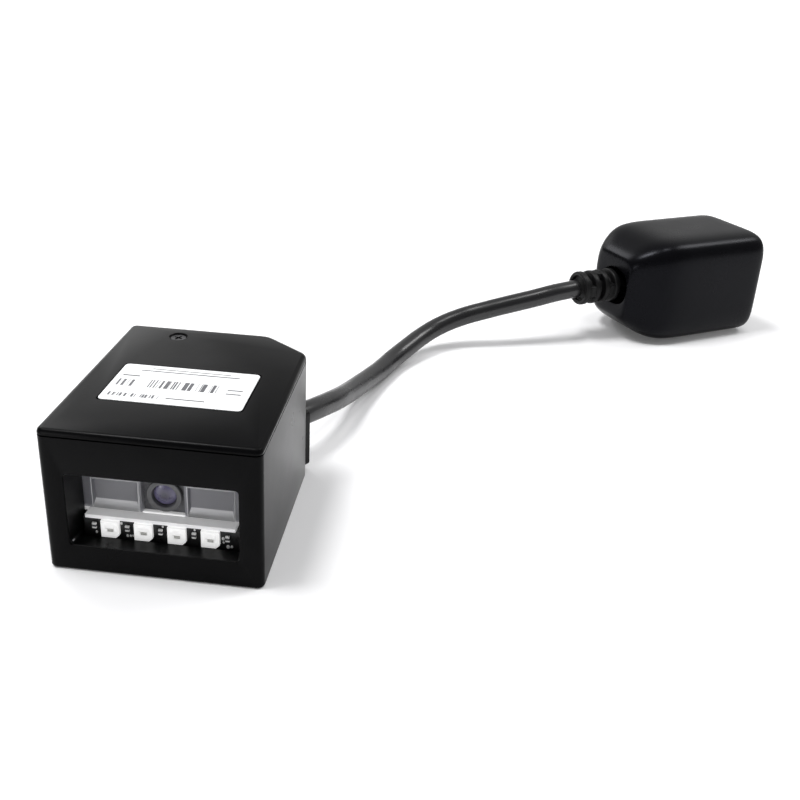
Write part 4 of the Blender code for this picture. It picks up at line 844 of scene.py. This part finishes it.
class READER_OT_lens(bpy.types.Operator):
    """Make the camera's barrel and coated lens, and finish the image sensor"""

    bl_idname = "reader.lens"
    bl_label = "Camera lens"

    def execute(self, context):
        low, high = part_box("lens_barrel")
        middle = (low + high) / 2
        place = (middle.x, low.y, middle.z)
        flange = (high.x - low.x) / 2
        rear = high.y - low.y
        edge = BARREL_EDGE
        profile = [
            (BARREL_STEP, BARREL_BORE), (edge, BARREL_BORE + edge), (0.0, BARREL_BORE + 2 * edge),
            (0.0, flange - edge), (edge, flange), (BARREL_FLANGE, flange), (BARREL_FLANGE, BARREL_BODY),
            (rear, BARREL_BODY), (rear, BARREL_BORE - BARREL_STEP), (rear - BARREL_STEP, BARREL_BORE - BARREL_STEP),
            (rear - BARREL_STEP, BARREL_BORE), (BARREL_STEP, BARREL_BORE),
        ]
        barrel = moulded_plastic("barrel_black", (0.12, 0.12, 0.125), 0.4, 0.0002)
        add_solid(
            "camera_barrel", turned(profile, place, (0, 1, 0)), "barrel_black", barrel,
            replaces=["lens_barrel"],
        )
        radius = BARREL_BORE - edge
        dome = [
            (LENS_SETBACK + LENS_SAG * (index / LENS_STEPS) ** 2, radius * index / LENS_STEPS)
            for index in range(LENS_STEPS + 1)
        ]
        lens = turned([*dome, (LENS_BACK, radius), (LENS_BACK, 0.0)], place, (0, 1, 0))
        glass = Finish("lens_glass", (0.11, 0.10, 0.17), 0.3, Coat_Weight=0.4, Coat_Roughness=0.15)
        # The glass's colour is darker at its middle and lighter towards its rim
        middle_to_rim = glass.combined("MULTIPLY", glass.from_axis(place), 1 / radius)
        glass.tint(middle_to_rim, 0.55, 0.2, 0.9)
        glass.rub(glass.noise(0.001, 4.0), 0.24, 0.36)
        add_solid("camera_front_lens", lens, "lens_glass", glass.material, replaces=["camera_lens"])
        sensor = Finish("sensor_glass", (0.03, 0.035, 0.05), 0.12, Coat_Weight=0.6)
        sensor.tint(sensor.noise(0.0004), 0.3)
        sensor.bump(sensor.noise(0.0002), 0.00001, 0.3)
        dress(sensor.material, "image_sensor")
        return {"FINISHED"}


class READER_OT_lamps(bpy.types.Operator):
    """Make the four LEDs and the small parts beside them, and finish the lamp board and its leads"""

    bl_idname = "reader.lamps"
    bl_label = "Lamp board"

    def execute(self, context):
        dress(board("lamp_board_black", (0.012, 0.012, 0.013)), "lamp_board")
        case = Finish(
            "led_case", (0.92, 0.92, 0.91), 0.4,
            Emission_Color=(1.0, 1.0, 1.0, 1.0), Emission_Strength=0.4,
        )
        case.tint(case.noise(0.001), 0.03)
        case.bump(case.noise(0.0003), 0.00001, 0.3)
        glow = Finish(
            "led_phosphor", (0.9, 0.9, 0.84), 0.3,
            Emission_Color=(1.0, 1.0, 0.97, 1.0), Emission_Strength=0.45,
        )
        glow.tint(glow.noise(0.0005), 0.04)
        die = packaged("led_die", (0.70, 0.70, 0.67), 0.35)
        for index in range(1, 5):
            node = "lamp_led_%d" % index
            add_solid(
                "led_%d" % index, self.led(*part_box(node)), "led_white",
                case.material, glow.material, die, replaces=[node],
            )
        ceramic = packaged("resistor_ceramic", (0.05, 0.05, 0.055), 0.4)
        tin = packaged("solder_tin", (0.95, 0.95, 0.93), 0.4)
        for index in range(1, 6):
            node = "lamp_resistor_%d" % index
            low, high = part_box(node)
            add_solid(
                "resistor_%d" % index, self.resistor(low, high), "ceramic_grey", ceramic, tin,
                replaces=[node], bevel=0.00004,
            )
        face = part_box("lamp_board")[0].y
        pads = [self.pad(x, z, size, face) for x, z, size in SOLDER_PADS]
        add_solid("solder_pads", joined(pads), "can_metal", tin)
        dress(rubber("lead_red", (0.4, 0.02, 0.02), 0.45), "lamp_lead_left")
        dress(rubber("lead_black", (0.02, 0.02, 0.02), 0.45), "lamp_lead_right")
        return {"FINISHED"}

    def led(self, low, high):
        """A square case with a cut corner, a round rim filled with phosphor and a small die with its wire."""
        case = cuboid(low, high)
        corner = [
            edge for edge in case.edges
            if all(vert.co.x > high.x - GAP and vert.co.z < low.z + GAP for vert in edge.verts)
        ]
        rounded_edges(case, corner, LED_CORNER, 1)
        middle = (low + high) / 2
        front = Vector((middle.x, low.y, middle.z))
        inner = LED_WELL - LED_RIM
        profile = [
            (-LED_PROUD, 0.0), (-LED_PROUD, LED_WELL), (LED_PROUD, LED_WELL), (LED_PROUD, LED_WELL - LED_RIM / 2),
            (LED_PROUD / 3, inner), (LED_PROUD / 3, 0.0),
        ]
        rim = turned(profile, front, (0, -1, 0))
        for face in rim.faces:
            near = (face.calc_center_median() - front).length
            if face.normal.y < -FACING_LEAST and near < inner:
                face.material_index = 1
        chip = front + Vector((LED_DIE_SHIFT, -LED_PROUD / 3, -LED_DIE_SHIFT))
        body = cuboid(chip - Vector(LED_DIE), chip + Vector(LED_DIE))
        wire = cuboid(
            chip + Vector((-LED_WIRE_REACH, -LED_DIE[1], LED_DIE[2])),
            chip + Vector((-LED_DIE[0], 0.0, LED_DIE[2] + LED_WIRE)),
        )
        for part in (body, wire):
            for part_face in part.faces:
                part_face.material_index = 2
        return joined([case, rim, body, wire])

    def resistor(self, low, high):
        """A dark ceramic body between two tinned ends that stand a little proud."""
        height = high.z - low.z
        end = height * RESISTOR_END_SHARE
        bm = cuboid(low, high)
        split(bm, 2, low.z + end, high.z - end)
        for face in bm.faces:
            middle = face.calc_center_median().z
            if middle < low.z + end or middle > high.z - end:
                face.material_index = 1
        return bm

    def pad(self, x, z, size, face):
        """A low dome of solder on the board's face."""
        bm = bmesh.new()
        bmesh.ops.create_uvsphere(bm, u_segments=16, v_segments=8, radius=size / 2)
        flat = Matrix.Diagonal((1.0, SOLDER_FLATNESS, SOLDER_STRETCH, 1.0))
        bmesh.ops.transform(bm, matrix=Matrix.Translation((x, face, z)) @ flat, verts=bm.verts)
        return bm


class READER_OT_boards(bpy.types.Operator):
    """Finish the boards inside and what is on them"""

    bl_idname = "reader.boards"
    bl_label = "Boards inside"

    def execute(self, context):
        dress(board("board_green", (0.015, 0.09, 0.035)), "main_board", "sensor_board")
        chip = packaged("chip_black", (0.02, 0.02, 0.021), 0.5)
        dress(chip, "processor", "memory_chip", "interface_chip", "beeper")
        dress(turned_metal("can_metal", (0.7, 0.69, 0.65), 0.28), "oscillator")
        white = moulded_plastic("connector_white", (0.72, 0.70, 0.62), 0.45, 0.0003)
        dress(white, "board_socket", "sensor_socket", "cable_header", "header_plug")
        dress(packaged("flex_film", (0.55, 0.3, 0.08), 0.3), "flat_flex")
        for index, sleeve in enumerate(SLEEVES, start=1):
            dress(rubber("sleeve_%d" % index, sleeve, 0.45), "lead_wire_%d" % index)
        return {"FINISHED"}


class READER_OT_connector(bpy.types.Operator):
    """Make the connector block and its ribbed boot, and finish the jack in the far end"""

    bl_idname = "reader.connector"
    bl_label = "Connector block"

    def execute(self, context):
        settings = context.scene.reader
        place = Matrix.Translation(HOOD_PLACE) @ Matrix.Rotation(HOOD_TURN, 4, "Z")
        # The bluish reflection tint is a painted reflection: it stands in for bluish light that the block's top
        # reflects
        block = moulded_plastic(
            "hood_plastic", settings.connector.plastic, 0.28, 0.0004, Specular_IOR_Level=0.10,
            Specular_Tint=(0.86, 0.88, 1.0, 1.0),
        )
        add_solid(
            "connector_block", self.block(), "hood_black", block,
            replaces=["connector_hood"], levels=3, place=place,
        )
        grip = rubber("boot_rubber", settings.cable.rubber, 0.45, 0.2)
        add_solid(
            "ribbed_boot", self.boot(), "boot_rubber", grip,
            replaces=["connector_boot"], bevel=0.00045, place=place,
        )
        dress(grip, "cable_grommet")
        dress(moulded_plastic("jack_plastic", (0.02, 0.02, 0.02), 0.4, 0.0003), "jack_body")
        dress(turned_metal("contact_gold", (0.83, 0.6, 0.25), 0.22), "jack_contacts")
        return {"FINISHED"}

    def block(self):
        """A soft block with one drawn-in end, a hollow for the boot and a pocket for the jack."""
        half = HOOD_WIDTH / 2
        bm = cuboid((0, -half, 0), (HOOD_LENGTH, half, HOOD_HEIGHT))
        bend = (HOOD_TAPER - TAPER_BEND, HOOD_TAPER + TAPER_BEND)
        split(bm, 0, TAPER_CREASE, TAPER_END_LENGTH, *bend, HOOD_LENGTH / 2, HOOD_LENGTH - HOOD_END_ROUND)
        split(bm, 1, half - HOOD_ROUND, HOOD_ROUND - half)
        split(bm, 2, HOOD_ROUND, HOOD_HEIGHT - HOOD_ROUND)
        for vert in bm.verts:
            share_in = max(1 - vert.co.x / HOOD_TAPER, 0.0)
            more = TAPER_END_INSET * share_in ** TAPER_CURVE
            rise = (vert.co.z / HOOD_HEIGHT) * 2 - 1
            vert.co.y -= (TAPER_SIDE * share_in + more) * vert.co.y / half
            vert.co.z -= ((TAPER_TOP if rise > 0 else TAPER_BOTTOM) * share_in + more) * rise
        middle = (HOLLOW_SHIFT[0], BOOT_RISE + HOLLOW_SHIFT[1])
        self.opening(bm, 0.0, -1, middle, HOLLOW_HALF, HOLLOW_DEPTH, True)
        pocket = (JACK_WIDTH / 2 + GAP, JACK_HEIGHT / 2 + GAP)
        self.opening(bm, HOOD_LENGTH, 1, (0.0, HOOD_HEIGHT / 2), pocket, JACK_LENGTH, False)
        return bm

    def opening(self, bm, end, facing, middle, halves, depth, is_round):
        """A straight-walled recess in one end, round or square-cornered."""
        faces = faces_within(
            bm, (end - GAP, -HOOD_WIDTH, -GAP), (end + GAP, HOOD_WIDTH, HOOD_HEIGHT + GAP), (facing, 0, 0),
        )
        sunk(bm, faces, GAP, 0.0)
        inside = set(faces)
        for vert in {vert for face in faces for vert in face.verts}:
            place = ((vert.co.y - middle[0]) / halves[0], (vert.co.z - middle[1]) / halves[1])
            if is_round and not inside.issuperset(vert.link_faces):
                size = math.hypot(*place)
            else:
                size = max(*map(abs, place), 1.0)
                place = [max(min(part, 1.0), -1.0) * size for part in place]
            vert.co.y = middle[0] + halves[0] * place[0] / size
            vert.co.z = middle[1] + halves[1] * place[1] / size
        sunk(bm, faces, 0.0, GAP)
        sunk(bm, faces, 0.0, depth - GAP)
        sunk(bm, faces, GAP, 0.0)

    def boot(self):
        """A wide front ring and narrower ones on a core, with webs between them that alternate sides."""
        pitch = (BOOT_LENGTH - BOOT_FRONT_RING) / (BOOT_RINGS - 1)
        starts = [BOOT_FRONT_RING - BOOT_LENGTH + ring * pitch for ring in range(BOOT_RINGS - 1)]
        core = BOOT_GROOVE_RADIUS
        profile = [
            (BOOT_ENTRY - BOOT_LENGTH, 0.0), (BOOT_ENTRY - BOOT_LENGTH, BOOT_MOUTH), (-BOOT_LENGTH, BOOT_MOUTH),
            (-BOOT_LENGTH, BOOT_RADIUS), (starts[0], BOOT_RADIUS),
        ]
        for start in starts:
            profile += [
                (start, core), (start + BOOT_GROOVE, core), (start + BOOT_GROOVE, BOOT_RADIUS),
                (start + pitch, BOOT_RADIUS),
            ]
        profile += [(0.0, core), (HOLLOW_DEPTH + WALL, core), (HOLLOW_DEPTH + WALL, 0.0)]
        bodies = [turned(profile, (0, 0, BOOT_RISE), (1, 0, 0))]
        for index, start in enumerate(starts):
            reach = BOOT_RADIUS - GAP
            across, rise = ((reach, BOOT_GROOVE), (BOOT_GROOVE, reach))[index % 2]
            low = (start - GAP, -across, BOOT_RISE - rise)
            bodies.append(cuboid(low, (start + BOOT_GROOVE + GAP, across, BOOT_RISE + rise)))
        return joined(bodies)


class READER_OT_cable(bpy.types.Operator):
    """Make the cable"""

    bl_idname = "reader.cable"
    bl_label = "Cable"

    def execute(self, context):
        settings = context.scene.reader.cable
        curve = bpy.data.curves.new("reader_cable", "CURVE")
        curve.dimensions = "3D"
        curve.bevel_depth = settings.diameter / 2
        curve.bevel_resolution = 8
        curve.resolution_u = 10
        curve.use_fill_caps = True
        spline = curve.splines.new("BEZIER")
        spline.bezier_points.add(len(CABLE_ROUTE) - 1)
        for item, point in zip(spline.bezier_points, CABLE_ROUTE):
            item.co = point
            item.handle_left_type = item.handle_right_type = "AUTO"
        jacket = rubber("cable_jacket", settings.jacket, 0.28, 0.6, 0.0015)
        cable = add_piece("reader_cable", curve, "cable_black", jacket, replaces=["cable"])
        return {"FINISHED"}


class READER_OT_studio(bpy.types.Operator):
    """Set the floor, the lights, the world and the camera"""

    bl_idname = "reader.studio"
    bl_label = "Studio"

    def execute(self, context):
        settings = context.scene.reader.studio
        self.floor(context, settings)
        self.lights(context, settings)
        self.world(context, settings)
        self.camera(context)
        context.scene.view_settings.view_transform = "Standard"
        return {"FINISHED"}

    def floor(self, context, settings):
        """A floor that is clear from below, so that the reader's underside can be seen."""
        bm = bmesh.new()
        bmesh.ops.create_circle(
            bm, cap_ends=True, segments=64, radius=settings.floor_radius,
            matrix=Matrix.Translation((0, 0, -FLOOR_DROP)),
        )
        mesh = bpy.data.meshes.new("studio_floor")
        bm.to_mesh(mesh)
        bm.free()
        floor = bpy.data.objects.new("studio_floor", mesh)
        context.scene.collection.objects.link(floor)
        finish = Finish("floor_paper", settings.floor, 0.9, Specular_IOR_Level=0.0)
        lift = finish.nodes.new("ShaderNodeEmission")
        away = finish.nodes.new("ShaderNodeVectorMath")
        away.operation = "LENGTH"
        finish.links.new(finish.place, away.inputs[0])
        level = finish.mapped(away.outputs["Value"], settings.floor_lift, 1.0, *FLOOR_FADE)
        strength = finish.combined("MULTIPLY", seen_rays(finish.nodes, finish.links), level)
        finish.links.new(strength, lift.inputs["Strength"])
        both = finish.nodes.new("ShaderNodeAddShader")
        finish.links.new(finish.shader.outputs["BSDF"], both.inputs[0])
        finish.links.new(lift.outputs["Emission"], both.inputs[1])
        clear = finish.nodes.new("ShaderNodeBsdfTransparent")
        sides = finish.nodes.new("ShaderNodeMixShader")
        under = finish.nodes.new("ShaderNodeNewGeometry").outputs["Backfacing"]
        for socket, value in zip(sides.inputs, (under, both.outputs["Shader"], clear.outputs["BSDF"])):
            finish.links.new(value, socket)
        finish.links.new(sides.outputs["Shader"], finish.nodes["Material Output"].inputs["Surface"])
        mesh.materials.append(finish.material)

    def lights(self, context, settings):
        for name, place, size, power in LIGHTS:
            self.area(context, name, place, size, power * settings.light_level)

    def area(self, context, name, place, size, power):
        light = bpy.data.lights.new(name, "AREA")
        light.shape = "DISK"
        light.size = size
        light.energy = power
        lamp = bpy.data.objects.new(name, light)
        lamp.location = place
        lamp.rotation_euler = (LIGHTS_AIM - Vector(place)).to_track_quat("-Z", "Y").to_euler()
        context.scene.collection.objects.link(lamp)

    def world(self, context, settings):
        """Plain light from all round, a little more from above and behind, and white where it is seen."""
        world = bpy.data.worlds.new("studio_world")
        world.use_nodes = True
        nodes, links = world.node_tree.nodes, world.node_tree.links
        place = nodes.new("ShaderNodeTexCoord").outputs["Generated"]
        total = nodes.new("ShaderNodeValue").outputs["Value"]
        total.default_value = settings.world_level
        for direction, strength in WORLD_SIDES:
            dot = nodes.new("ShaderNodeVectorMath")
            dot.operation = "DOT_PRODUCT"
            dot.inputs[1].default_value = Vector(direction).normalized()
            links.new(place, dot.inputs[0])
            side = nodes.new("ShaderNodeMapRange")
            side.inputs["From Min"].default_value = SIDE_START
            side.inputs["To Max"].default_value = strength
            links.new(dot.outputs["Value"], side.inputs["Value"])
            more = nodes.new("ShaderNodeMath")
            links.new(total, more.inputs[0])
            links.new(side.outputs["Result"], more.inputs[1])
            total = more.outputs["Value"]
        seen = nodes.new("ShaderNodeLightPath").outputs["Is Camera Ray"]
        white = nodes.new("ShaderNodeMix")
        links.new(seen, white.inputs["Factor"])
        links.new(total, white.inputs["A"])
        white.inputs["B"].default_value = 1.0
        background = nodes["Background"]
        background.inputs["Color"].default_value = (1.0, 1.0, 1.0, 1.0)
        links.new(white.outputs["Result"], background.inputs["Strength"])
        context.scene.world = world

    def camera(self, context):
        right = CAMERA_AIM.cross(UP).normalized()
        up = right.cross(CAMERA_AIM)
        rolled = right * math.cos(CAMERA_ROLL) + up * math.sin(CAMERA_ROLL)
        data = bpy.data.cameras.new("photo_camera")
        data.sensor_width = CAMERA_SENSOR
        data.sensor_fit = "HORIZONTAL"
        data.lens = CAMERA_LENS
        data.shift_x, data.shift_y = CAMERA_SHIFT
        data.clip_start = 0.005
        camera = bpy.data.objects.new("photo_camera", data)
        axes = Matrix((rolled, rolled.cross(CAMERA_AIM), -CAMERA_AIM)).transposed()
        camera.matrix_world = Matrix.Translation(CAMERA_PLACE) @ axes.to_4x4()
        context.scene.collection.objects.link(camera)
        context.scene.camera = camera


class READER_PT_panel(bpy.types.Panel):
    """The reader's sizes, colours and steps"""

    bl_idname = "READER_PT_panel"
    bl_label = "Fixed barcode reader"
    bl_space_type = "VIEW_3D"
    bl_region_type = "UI"
    bl_category = "Reader"

    def draw(self, context):
        for group_name in ReaderSettings.__annotations__:
            group = getattr(context.scene.reader, group_name)
            column = self.layout.box().column()
            column.label(text=group_name.capitalize())
            for name in type(group).__annotations__:
                column.prop(group, name)
        for step in STEPS:
            self.layout.operator(step.bl_idname)


SETTINGS = (HousingSettings, LabelSettings, CableSettings, ConnectorSettings, StudioSettings, ReaderSettings)
STEPS = (
    READER_OT_studio,
    READER_OT_connector,
    READER_OT_cable,
    READER_OT_housing,
    READER_OT_label,
    READER_OT_fasteners,
    READER_OT_window,
    READER_OT_lens,
    READER_OT_lamps,
    READER_OT_boards,
)


def register():
    for item in (*SETTINGS, *STEPS, READER_PT_panel):
        bpy.utils.register_class(item)
    bpy.types.Scene.reader = PointerProperty(type=ReaderSettings)


def unregister():
    del bpy.types.Scene.reader
    for item in reversed((*SETTINGS, *STEPS, READER_PT_panel)):
        bpy.utils.unregister_class(item)


def main():
    """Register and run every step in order."""
    register()
    for step in STEPS:
        group, name = step.bl_idname.split(".")
        getattr(getattr(bpy.ops, group), name)()


if __name__ == "__main__":
    main()
